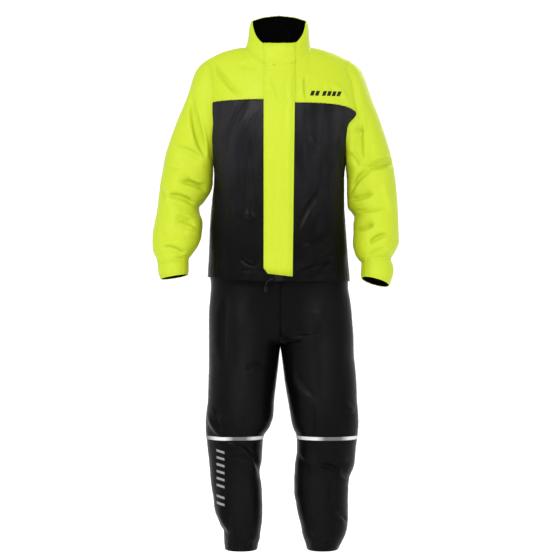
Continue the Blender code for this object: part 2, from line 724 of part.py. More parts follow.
# How finely the panels are divided
COLUMNS = 12  # of a body quarter
NECK_COLUMNS = 6
BODY_SPANS, CHEST_SPANS, YOKE_SPANS = 11, 5, 5
LEG_COLUMNS = 9
SLEEVE_STATIONS = np.array([*range(CUFF_ROW), CUFF_ROW - 0.5, CUFF_ROW], float)
CUFF_STATIONS = np.array([CUFF_ROW, CUFF_ROW + 0.7, SLEEVE_END], float)
COLLAR_HEIGHTS = (0, 0.18, 0.5, 1)


def body_levels(first, last):
    spans = {0: BODY_SPANS, 1: CHEST_SPANS, 2: YOKE_SPANS}
    parts = [np.linspace(k, k + 1, spans[k] + 1) for k in range(first, last)]
    return np.unique(np.concatenate(parts))


def jacket_grids():
    """The jacket's panels: name to its group, grid, sign, material and whether it's a tube."""
    across = np.linspace(0, 1, COLUMNS + 1)
    grids = {}
    for side in (RIGHT, LEFT):
        name = side_name(side)
        low = body_quarter(side, FRONT, across, body_levels(0, 2))
        high = body_quarter(side, FRONT, across, body_levels(2, 3))
        grids[f"front_{name}"] = ("body", low, side, "black_cloth", False)
        grids[f"yoke_front_{name}"] = ("body", high, side, "hi_vis_cloth", False)
        rings = sleeve_rings(side, SLEEVE_STATIONS, CHEST_SPANS, YOKE_SPANS)
        grids[f"sleeve_{name}"] = (f"sleeve_{name}", rings, -side, "hi_vis_cloth", True)
        rings = sleeve_rings(side, CUFF_STATIONS, CHEST_SPANS, YOKE_SPANS)
        grids[f"cuff_{name}"] = (f"sleeve_{name}", rings, -side, "hi_vis_cloth", True)
    low = across_back(body_quarter, across, body_levels(0, 2))
    high = across_back(body_quarter, across, body_levels(2, 3))
    grids["back"] = ("body", low, -1, "black_cloth", False)
    grids["yoke_back"] = ("body", high, -1, "hi_vis_cloth", False)
    grids["collar"] = ("collar", collar_grid(COLLAR_HEIGHTS), 1, "hi_vis_cloth", False)
    return grids


def collar_grid(heights):
    """The collar from the left of the zip round the back to the right of the zip."""
    across = np.linspace(0, 1, NECK_COLUMNS + 1)
    quarters = [
        collar_quarter(LEFT, FRONT, across, heights),
        collar_quarter(LEFT, BACK, across, heights)[:, ::-1][:, 1:],
        collar_quarter(RIGHT, BACK, across, heights)[:, 1:],
        collar_quarter(RIGHT, FRONT, across, heights)[:, ::-1][:, 1:],
    ]
    return np.concatenate(quarters, 1)


def trouser_grids():
    """The trousers' four panels and the waistband."""
    across = np.linspace(0, 1, LEG_COLUMNS + 1)
    grids = {}
    for side in (RIGHT, LEFT):
        for face in (FRONT, BACK):
            grid = leg_quarter(side, face, across, leg_levels())
            name = f"trouser_{face_name(face)}_{side_name(side)}"
            grids[name] = ("trousers", grid, side * face, "black_cloth", False)
    heights = [(WAIST_SEAM_Z, 0.0), (WAIST_TOP_Z, 0.0)]
    ring = [
        leg_quarter(LEFT, FRONT, across, heights),
        leg_quarter(LEFT, BACK, across, heights)[:, ::-1][:, 1:],
        leg_quarter(RIGHT, BACK, across, heights)[:, 1:],
        leg_quarter(RIGHT, FRONT, across, heights)[:, ::-1][:, 1:],
    ]
    grids["waistband"] = ("trousers", np.concatenate(ring, 1), 1, "black_cloth", True)
    return grids


def front_rows(jacket):
    """The rows of points across the closed fronts, from the collar's top edge to the hem.

    Each runs from the wearer's right to the left through the panels' own points.
    """
    count = NECK_COLUMNS + 1
    rows = [np.concatenate([row[-count:], row[:count]]) for row in jacket["collar"][1][::-1]]
    for piece in ("yoke_front", "front"):
        right = jacket[f"{piece}_right"][1][-2::-1, ::-1]
        left = jacket[f"{piece}_left"][1][-2::-1]
        rows += list(np.concatenate([right, left], 1))
    return rows


def across_row(row, x):
    """The points at some x on a row's own line."""
    return np.stack([x, np.interp(x, row[:, 0], row[:, 1]), np.interp(x, row[:, 0], row[:, 2])], -1)


def front_strip(rows, edges, bottom, spans):
    """A strip down the fronts, made from their rows.

    edges gives where it starts and ends across a row, by the row's height, and bottom
    gives the height of its lower end at each x. Between them, the strip takes the rows'
    own points, spans of them on each side of the middle.
    """
    strip = []
    for row in rows:
        middle = len(row) // 2
        low, high = edges(row[:, 2].mean())
        x = np.concatenate([[low], row[middle - spans : middle + spans, 0], [high]])
        strip.append(across_row(row, x))
    strip = np.array(strip)
    x = strip[-1, :, 0]
    z = bottom(x)
    depth = [np.interp(z[c], strip[::-1, c, 2], strip[::-1, c, 1]) for c in range(len(x))]
    kept = strip[(strip[..., 2] > z.max() + ROW_CLEAR).all(axis=1)]
    return np.concatenate([kept, np.stack([x, depth, z], -1)[None]])


def zip_edges(height):
    return SEAM_GAP / 2 - ZIP_HALF, ZIP_HALF - SEAM_GAP / 2


def zip_bottom(x):
    return np.full(len(x), HEM_MIDDLE_Z + SEAM_GAP)


def flap_edges(height):
    """The storm flap's edges. It narrows towards the hem."""
    return FLAP_RIGHT_X, FLAP_TOP_X + (FLAP_BOTTOM_X - FLAP_TOP_X) * min(height / FLAP_BOTTOM_Z, 1)


def flap_bottom(x):
    """The flap's lower edge: a slant, cut off at the corner where the flap is sewn on."""
    corner = np.clip(1 - (x - FLAP_RIGHT_X) / FLAP_CORNER[0], 0, 1)
    return FLAP_BOTTOM_Z + corner * FLAP_CORNER[1] - x * FLAP_SLANT


def make_front_closing(rows):
    """The closed zip between the fronts, and the storm flap that covers it."""
    strip = front_strip(rows, zip_edges, zip_bottom, 0)
    directions = Directions()
    directions.add("zip", strip, -1)
    laid("front_zip", "zip", strip, -1, "zip_tape", directions, -ZIP_UNDER, WALL)
    strip = front_strip(rows, flap_edges, flap_bottom, 2)
    directions = Directions()
    directions.add("flap", strip, -1)
    laid("storm_flap", "flap", strip, -1, "hi_vis_cloth", directions, LAID_ON, DOUBLE)


def make_hem_cord(rows):
    """The hem's drawcord: an eyelet in the hem, a short free end and its toggle."""
    face_x = np.array([EYELET_X + EYELET_RADIUS])
    column = np.array([across_row(row, face_x)[0] for row in rows])[::-1]
    front = np.interp(EYELET_Z - EYELET_RADIUS, column[:, 2], column[:, 1]) - SEAM_GAP
    turn = np.linspace(0, 2 * math.pi, ROUND_SPANS + 1)
    profile = (
        (EYELET_HOLE, front),
        (EYELET_RADIUS, front),
        (EYELET_RADIUS, front - EYELET_DEPTH / 2),
        (EYELET_RADIUS - EYELET_DEPTH / 2, front - EYELET_DEPTH),
        (EYELET_HOLE, front - EYELET_DEPTH),
    )
    rings = [
        [(EYELET_X + r * math.cos(a), y, EYELET_Z + r * math.sin(a)) for a in turn]
        for r, y in profile
    ]
    ring_solid("hem_eyelet", np.array(rings), "toggle_plastic")

    knots = np.array(CORD_ROUTE) * MM + np.array([EYELET_X, front, EYELET_Z])
    curve = bpy.data.curves.new("hem_cord", "CURVE")
    curve.dimensions = "3D"
    curve.bevel_depth = CORD_RADIUS
    curve.bevel_resolution = CORD_SIDES
    curve.use_fill_caps = True
    line = curve.splines.new("POLY")
    points = rounded(knots, CORD_POINTS)
    line.points.add(len(points) - 1)
    for vertex, point in zip(line.points, points, strict=True):
        vertex.co = (*point, 1)
    curve.materials.append(material("cord"))
    cord = bpy.data.objects.new("hem_cord", curve)
    bpy.context.scene.collection.objects.link(cord)

    end = points[-1]
    rings = [
        [
            (
                end[0] + TOGGLE_RADIUS * wide * math.cos(a),
                end[1] + TOGGLE_RADIUS * wide * math.sin(a),
                end[2] - SEAM_GAP - TOGGLE_LENGTH * down,
            )
            for a in turn
        ]
        for wide, down in TOGGLE_PROFILE
    ]
    turned_solid("cord_toggle", np.array(rings), "toggle_plastic")


# The cord's route from the eyelet, in millimetres: out, over and down
CORD_ROUTE = (
    (0, -2.4, 0),
    (-0.5, -5, -1),
    (-3, -7, -3.5),
    (-7, -7.2, -6),
    (-11, -6.4, -8.5),
    (-14.5, -5.6, -12),
    (-16.5, -5.2, -16),
    (-17, -5, -20),
    (-17, -5, -22),
)


def rounded(knots, count):
    """Points at even distances on a smooth curve through the knots."""
    steps = np.linalg.norm(np.diff(knots, axis=0), axis=1)
    run = np.concatenate([[0], np.cumsum(steps)])
    at = np.linspace(0, run[-1], count)
    return np.stack([smooth(at, run, knots[:, k]) for k in range(3)], -1)


def ring_solid(name, rings, material_name):
    """A turned ring: its profile's points go all the way round and close on themselves."""
    rings = rings[:, :-1]
    rows, columns = rings.shape[:2]
    faces = []
    for r in range(rows):
        for c in range(columns):
            a, b = r * columns + c, r * columns + (c + 1) % columns
            below = (r + 1) % rows * columns
            faces.append((a, b, below + (c + 1) % columns, below + c))
    return mesh_object(name, rings.reshape(-1, 3), faces, material_name)


def turned_solid(name, rings, material_name):
    """A turned body with flat ends."""
    rings = rings[:, :-1]
    rows, columns = rings.shape[:2]
    faces = [tuple(range(columns)), tuple(range(rows * columns - 1, (rows - 1) * columns - 1, -1))]
    for r in range(rows - 1):
        for c in range(columns):
            a, b = r * columns + c, r * columns + (c + 1) % columns
            faces.append((a, a + columns, b + columns, b))
    return mesh_object(name, rings.reshape(-1, 3), faces, material_name)


def make_linings(jacket, directions):
    """The black inside of the collar and of each cuff, which show at their openings."""
    inside = -(DOUBLE + SEAM_GAP)
    upper = jacket["collar"][1][1:]
    laid("collar_lining", "collar", upper, 1, "black_lining", directions, inside, LINING)
    for side in (RIGHT, LEFT):
        name = side_name(side)
        group, rings, sign, _, closed = jacket[f"cuff_{name}"]
        facing = f"cuff_facing_{name}"
        laid(facing, group, rings, sign, "black_lining", directions, inside, LINING, closed)


def make_knee_bands(trousers, directions):
    """A reflective band round each leg, laid on the rows of its two panels."""
    levels = leg_levels()
    first = [z for z, share in levels].index(BAND_TOP_Z)
    for side in (RIGHT, LEFT):
        name = side_name(side)
        front = trousers[f"trouser_front_{name}"][1][first : first + 2]
        back = trousers[f"trouser_back_{name}"][1][first : first + 2]
        ring = np.concatenate([front, back[:, ::-1][:, 1:]], 1)
        band = f"knee_band_{name}"
        laid(band, "trousers", ring, -side, "reflective_tape", directions, SEAM_GAP, BAND_WALL, True)


def make_suit():
    directions = Directions()
    jacket, trousers = jacket_grids(), trouser_grids()
    for group, grid, sign, _, _ in [*jacket.values(), *trousers.values()]:
        directions.add(group, grid, sign)
    for name, (group, grid, sign, cloth, closed) in [*jacket.items(), *trousers.items()]:
        double = name in ("collar", "waistband") or name.startswith("cuff")
        thick = DOUBLE if double else WALL
        sewn(name, group, grid, sign, cloth, directions, closed, thick)
    make_linings(jacket, directions)
    make_knee_bands(trousers, directions)
    rows = front_rows(jacket)
    make_front_closing(rows)
    make_hem_cord(rows)


def main():
    for old in list(bpy.data.objects):
        bpy.data.objects.remove(old)
    make_suit()


main()
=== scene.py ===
"""The looks of a two-piece motorcycle rain suit, filled out as it is worn.

Every panel is worked out from the sizes of the frame's solids on a finer grid, which then
gets its creases, the grooves and puckers of its seams, its thickness and its stitching.
Metres, +Z up, the front faces -Y and the wearer's left is +X.
"""

import math

import bpy
import numpy as np
from bpy.props import FloatProperty, FloatVectorProperty, PointerProperty
from bpy.types import Operator, Panel, PropertyGroup
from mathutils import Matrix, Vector


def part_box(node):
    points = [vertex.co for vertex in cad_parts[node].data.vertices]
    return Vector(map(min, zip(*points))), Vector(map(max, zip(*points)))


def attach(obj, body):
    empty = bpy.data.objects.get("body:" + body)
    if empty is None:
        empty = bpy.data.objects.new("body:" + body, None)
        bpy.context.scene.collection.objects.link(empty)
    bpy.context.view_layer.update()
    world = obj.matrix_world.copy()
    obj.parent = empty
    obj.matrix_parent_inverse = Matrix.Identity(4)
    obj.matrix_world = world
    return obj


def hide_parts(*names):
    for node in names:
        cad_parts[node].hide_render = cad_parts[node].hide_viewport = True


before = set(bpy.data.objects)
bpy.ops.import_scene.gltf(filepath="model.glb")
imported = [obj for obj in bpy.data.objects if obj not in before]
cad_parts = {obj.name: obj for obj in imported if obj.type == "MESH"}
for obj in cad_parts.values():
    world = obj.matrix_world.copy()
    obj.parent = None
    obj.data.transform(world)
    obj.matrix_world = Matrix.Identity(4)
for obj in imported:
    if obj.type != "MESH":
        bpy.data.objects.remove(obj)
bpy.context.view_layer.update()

bl_info = {
    "name": "Rain suit",
    "version": (1, 0, 0),
    "blender": (4, 5, 0),
    "location": "3D View > Sidebar > Rain suit",
    "description": "Builds a rain suit's cloth, sewing, trims and studio around its frame",
    "category": "Object",
}

MM = 0.001
RIGHT, LEFT = -1, 1  # the wearer's sides, as the sign of x
FRONT, BACK = -1, 1  # the faces of the body, as the sign of y

SEAM_GAP = 0.3 * MM
WALL = 1.2 * MM  # one layer of coated cloth
DOUBLE = 1.8 * MM  # cloth folded double: collar, cuffs, flap and waistband
LINING = 1 * MM
BAND_WALL = 0.6 * MM

# The jacket's main lines
UNDERARM_Z = -335 * MM
SHOULDER_POINT_Z = -41 * MM
SHOULDER_POINT_X = {RIGHT: 217.5 * MM, LEFT: 209 * MM}
NECK_POINT_X = {RIGHT: 96.5 * MM, LEFT: 91 * MM}
SHOULDER_CURVE = {RIGHT: 1.85, LEFT: 1.5}  # how late the shoulder line drops
NECK_DROP = {FRONT: 60 * MM, BACK: 8 * MM}
NECK_CURVE = {FRONT: 2, BACK: 1}
NECK_RISE = 35 * MM  # how far the shoulders' crown would rise over the neck's middle
CROWN_START_Z = -300 * MM  # where the chest begins to round over to the shoulder
CROWN_POWER = 2.5
SECTION_POWER = 2.4  # how square the body's horizontal sections are
ARMHOLE_REACH = 0.5  # the armhole's half-width as a share of the body's depth
ARMHOLE_LIMITS = (0.1, 0.9)  # the least depth and the most reach that are reckoned with
ARMHOLE_PULL = 8  # how closely the armhole's line and flatness keep to the panel's edge
ZIP_HALF = 12 * MM
NECK_SHARE = 0.5  # the share of a panel's columns that end at the neck

# The black lower panels end at the yoke seam: its height at the centre and the armhole
YOKE_Z = {
    (RIGHT, FRONT): (-158 * MM, -162 * MM),
    (LEFT, FRONT): (-168 * MM, -192 * MM),
    (RIGHT, BACK): (-165 * MM, -170 * MM),
    (LEFT, BACK): (-165 * MM, -170 * MM),
}
YOKE_CURVE = {RIGHT: 2, LEFT: 5}
HEM_Z = {RIGHT: -664 * MM, LEFT: -676 * MM}  # at the side seams
HEM_MIDDLE_Z = -677 * MM

# The trousers' main lines
CROTCH_X = 4 * MM
CROTCH_Z = -858 * MM
CROTCH_TOP_Z = -790 * MM  # where the centre seams begin to curve under
LEG_BLEND_Z = (-735 * MM, -960 * MM)  # where the trunk's section turns into a leg's
SEAM_REACH = 0.4  # the share of a panel over which its seam's own shape fades
WAIST_SEAM_Z = -585 * MM
WAIST_TOP_Z = -545 * MM
TRUNK_POWER = 2.3
LEG_POWER = 2.15
BAND_TOP_Z = -1121.5 * MM
BAND_BOTTOM_Z = -1131.5 * MM
TROUSER_HEM_Z = -1452 * MM

# Storm flap, hem cord and its eyelet
FLAP_RIGHT_X = -43.5 * MM
FLAP_TOP_X = 47 * MM
FLAP_BOTTOM_X = 38.5 * MM
FLAP_BOTTOM_Z = -658.5 * MM
FLAP_SLANT = 0.12
FLAP_CORNER = (12 * MM, 14 * MM)  # how much is cut off its lower corner, across and up
CORD_RADIUS = 1.3 * MM
EYELET_X, EYELET_Z = -20 * MM, -668 * MM
EYELET_RADIUS, EYELET_HOLE, EYELET_DEPTH = 5 * MM, 1.8 * MM, 1.6 * MM
TOGGLE_LENGTH, TOGGLE_RADIUS = 16 * MM, 5 * MM


def table(names, *rows):
    """The columns of a table by name, in metres, from rows in millimetres."""
    columns = np.array(rows, float).T * MM
    return dict(zip(names.split(), columns, strict=True))


# Horizontal sections of the jacket's body, from below the hem to above the shoulders
BODY = table(
    "z right left front back",
    (-700, 211, 208, 154, 156),
    (-640, 205, 202, 150, 149),
    (-570, 202, 197, 145, 137),
    (-500, 199, 192, 140, 124),
    (-440, 193, 189, 138, 119),
    (-390, 188, 189, 138, 120),
    (-335, 190.5, 194, 139, 124),
    (-290, 199, 200, 138, 128),
    (-250, 205, 209, 136, 130),
    (-226, 206, 217, 134, 131),
    (-192, 211, 245, 132, 132),
    (-150, 213, 241, 129, 131),
    (-100, 216, 232, 124, 128),
    (-41, 217.5, 209, 118, 124),
    (40, 217.5, 209, 116, 122),
)

# Sections across each sleeve, shoulder to cuff: where its outer and inner lines lie from
# the front, half its depth, how far it swings forward and how much its front edge is raised
SLEEVE = {
    RIGHT: table(
        "x_out z_out x_in z_in depth forward raised",
        (217.5, -41, 190.5, -335, 60, 0, 0),
        (235, -59, 191, -341, 64, 0, 0),
        (248, -84, 191, -348, 68, 0, 0),
        (258, -116, 191, -357, 72, -1, 0),
        (271, -154, 191, -367, 75, -2, 0),
        (287, -191, 192, -377, 78, -3, 0),
        (303, -232, 192, -389, 80, -4, 0),
        (319, -278, 194, -403, 80, -4, 0),
        (331, -319, 199, -418, 80, -4, 1),
        (338, -360, 209, -434, 78, -3, 3),
        (345, -400, 220, -450, 76, 0, 5),
        (349, -441, 231, -465, 73, 4, 6),
        (354, -479, 228, -484, 73, 10, 7),
        (361, -516, 221, -508, 73, 17, 8),
        (365, -551, 223, -537, 71, 26, 8),
        (364, -583, 230, -566, 66, 35, 7),
        (354, -608, 249, -597, 56, 42, 5),
        (349, -628, 260, -618, 49, 47, 4),
        (347, -647, 260, -637, 48, 52, 4),
        (339, -671, 261, -658, 46, 58, 4),
    ),
    LEFT: table(
        "x_out z_out x_in z_in depth forward raised",
        (209, -41, 194, -335, 60, 0, 0),
        (231, -57, 194, -342, 64, 0, 0),
        (245, -81, 194, -351, 68, 0, 0),
        (258, -116, 195, -361, 72, -1, 0),
        (271, -154, 196, -374, 75, -2, 0),
        (286, -191, 197, -389, 78, -3, 0),
        (300, -232, 197, -405, 80, -4, 0),
        (315, -278, 197, -422, 80, -4, 0),
        (326, -319, 198, -441, 80, -4, 1),
        (334, -360, 199, -460, 78, -2, 3),
        (339, -400, 212, -479, 76, 2, 5),
        (342, -438, 218, -494, 74, 7, 7),
        (344, -476, 215, -513, 73, 14, 8),
        (345, -516, 215, -537, 72, 22, 9),
        (346, -554, 213, -561, 69, 31, 9),
        (340, -580, 217, -589, 62, 40, 9),
        (327, -603, 229, -613, 54, 47, 8),
        (322, -616, 237, -626, 49, 51, 7),
        (329, -644, 236, -650, 50, 58, 8),
        (316, -689, 236, -667, 47, 67, 10),
    ),
}
CUFF_ROW = 17  # the sleeve table's row where the cuff is sewn on
SLEEVE_END = 19
SLEEVE_POWER = 2.15
CAP_ROWS = 6  # the rows over which the armhole's own shape fades out

# The collar's top edge: its height by the angle from the centre front
COLLAR_EDGE = table(
    "turn z",
    (0, 5),
    (24, 6),
    (34, 11),
    (42, 18.5),
    (51, 29),
    (60, 42),
    (68, 57),
    (76, 70),
    (90, 78),
    (120, 88),
    (150, 99),
    (180, 104.5),
)
COLLAR_HALF_WIDTH = 87 * MM
COLLAR_DEPTH = {FRONT: 84 * MM, BACK: 87 * MM}
COLLAR_FLARE = 3  # how soon it reaches its oval above the neck seam
COLLAR_ROLL, COLLAR_ROLL_POWER = 0.1, 6  # the share by which its top draws in, and how late

# Horizontal sections of the trousers above the crotch
TRUNK = table(
    "z right left front back",
    (-905, 203, 216, 118, 122),
    (-860, 203, 216, 122, 130),
    (-790, 203, 212, 124, 138),
    (-730, 200, 206, 125, 136),
    (-690, 197, 200, 125, 128),
    (-636, 202.9, 200.1, 125, 121),
    (-610, 188, 185, 118, 113),
    (-585, 168, 164, 109, 104),
    (-545, 165, 161, 106, 101),
)

# Sections of each leg: its outer and inner lines from the front, depths and middle
LEGS = {
    RIGHT: table(
        "z x_out x_in front back middle",
        (-1470, 154, 64, 68, 72, 0),
        (-1438, 158, 61, 69, 73, 0),
        (-1421, 159, 56, 70, 74, 0),
        (-1404, 159.5, 54, 71, 75, 0),
        (-1386, 168, 51, 74, 77, 0),
        (-1369, 175, 49, 77, 79, 0),
        (-1334, 187, 48, 80, 82, 1),
        (-1299, 191, 49, 82, 84, 2),
        (-1264, 197, 51, 83, 86, 2),
        (-1230, 200, 56, 83, 87, 1),
        (-1195, 203, 50, 84, 88, 0),
        (-1160, 207, 48, 86, 88, -2),
        (-1126, 210, 44.5, 88, 88, -4),
        (-1108, 212, 33.5, 90, 90, -4),
        (-1090, 212, 24, 91, 92, -4),
        (-1056, 210, 16, 93, 96, -3),
        (-1021, 206, 14, 96, 101, -1),
        (-986, 205, 10, 100, 107, 0),
        (-951, 204, 6, 105, 113, 1),
        (-916, 203, 2, 110, 119, 2),
        (-882, 203, -1.5, 115, 125, 3),
        (-858, 203, -4, 116, 127, 3),
        (-780, 203, -4, 120, 132, 4),
    ),
    LEFT: table(
        "z x_out x_in front back middle",
        (-1470, 164, 84, 66, 70, 0),
        (-1438, 178, 78, 68, 72, 0),
        (-1421, 187, 72, 71, 74, 0),
        (-1404, 194, 67, 74, 76, 0),
        (-1386, 198, 64, 76, 78, 0),
        (-1351, 200, 55, 79, 80, 0),
        (-1317, 200, 49, 81, 83, 1),
        (-1282, 201, 44, 82, 85, 2),
        (-1247, 204, 44, 83, 86, 2),
        (-1230, 210, 45, 84, 87, 1),
        (-1212, 217, 46, 84, 88, 0),
        (-1195, 220, 48, 84, 88, 0),
        (-1160, 223, 52, 86, 88, -2),
        (-1126, 227, 51, 88, 88, -4),
        (-1108, 229, 44, 90, 90, -4),
        (-1090, 230, 38, 91, 92, -4),
        (-1056, 229, 32, 93, 96, -3),
        (-1021, 226, 26, 96, 101, -1),
        (-986, 225, 20, 100, 107, 0),
        (-951, 223, 15, 105, 113, 1),
        (-916, 220, 11, 110, 119, 2),
        (-882, 217, 6.5, 115, 125, 3),
        (-858, 216.5, 4, 116, 127, 3),
        (-780, 212, 4, 120, 132, 4),
    ),
}

# The largest folds of each cloth and face, each a soft ridge or, with a height below 0, a
# trough that runs between two places seen from the front: x, z, to x, to z, width, height
FOLDS = {
    ("body", FRONT): (
        (-186, -44, -114, -137, 20, -9),
        (-97, -203, -154, -336, 24, 7),
        (-75, -212, -93, -310, 18, 5),
        (-93, -310, -84, -479, 22, 7),
        (-110, -487, -70, -505, 20, 7),
        (-110, -606, -68, -625, 20, -7),
        (136, -416, 62, -528, 26, -8),
        (85, -290, 115, -430, 26, 7),
        (140, -598, 69, -643, 22, -8),
        (150, -560, 75, -600, 20, 6),
    ),
    ("body", BACK): (
        (-120, -230, -60, -420, 30, 8),
        (110, -240, 60, -450, 30, 8),
        (10, -250, -20, -520, 30, -7),
        (-150, -560, -30, -610, 24, -8),
        (150, -530, 40, -590, 24, -8),
    ),
    (RIGHT, FRONT): (
        (-248, -150, -217, -301, 18, -12),
        (-297, -301, -230, -332, 19, -9),
        (-274, -386, -212, -416, 18, -11),
        (-314, -434, -250, -452, 18, -12),
        (-288, -492, -252, -519, 17, -8),
        (-328, -585, -274, -608, 14, -9),
    ),
    (RIGHT, BACK): (
        (-320, -400, -240, -430, 20, -9),
        (-330, -470, -250, -500, 20, -8),
        (-300, -300, -230, -370, 22, -7),
    ),
    (LEFT, FRONT): (
        (327, -336, 255, -350, 17, -11),
        (255, -350, 216, -408, 18, -11),
        (229, -244, 246, -345, 20, -13),
        (260, -425, 207, -441, 16, -11),
        (264, -514, 220, -525, 16, -12),
        (300, -545, 264, -563, 14, -9),
    ),
    (LEFT, BACK): (
        (320, -400, 240, -440, 20, -9),
        (330, -490, 240, -515, 20, -8),
        (310, -290, 230, -350, 22, -7),
    ),
    ("legs", FRONT): (
        (-107, -700, -101, -1030, 36, 9),
        (-203, -1060, -160, -1128, 22, 9),
        (-170, -1150, -75, -1192, 22, 9),
        (120, -740, 122, -1110, 34, 9),
        (55, -780, 110, -818, 28, -10),
        (32, -870, 95, -980, 30, -9),
        (120, -1200, 165, -1222, 18, -9),
        (-110, -1230, -150, -1370, 24, -9),
        (150, -1250, 115, -1380, 24, -8),
    ),
    ("legs", BACK): (
        (-60, -850, -130, -960, 28, -9),
        (60, -850, 140, -960, 28, -9),
        (-170, -1190, -80, -1220, 22, -9),
        (80, -1190, 180, -1215, 22, -9),
        (-120, -1260, -140, -1400, 26, 7),
        (120, -1260, 130, -1400, 26, 7),
    ),
}
FOLD_FADE = 0.25  # the share of a fold's length over which it fades at each end

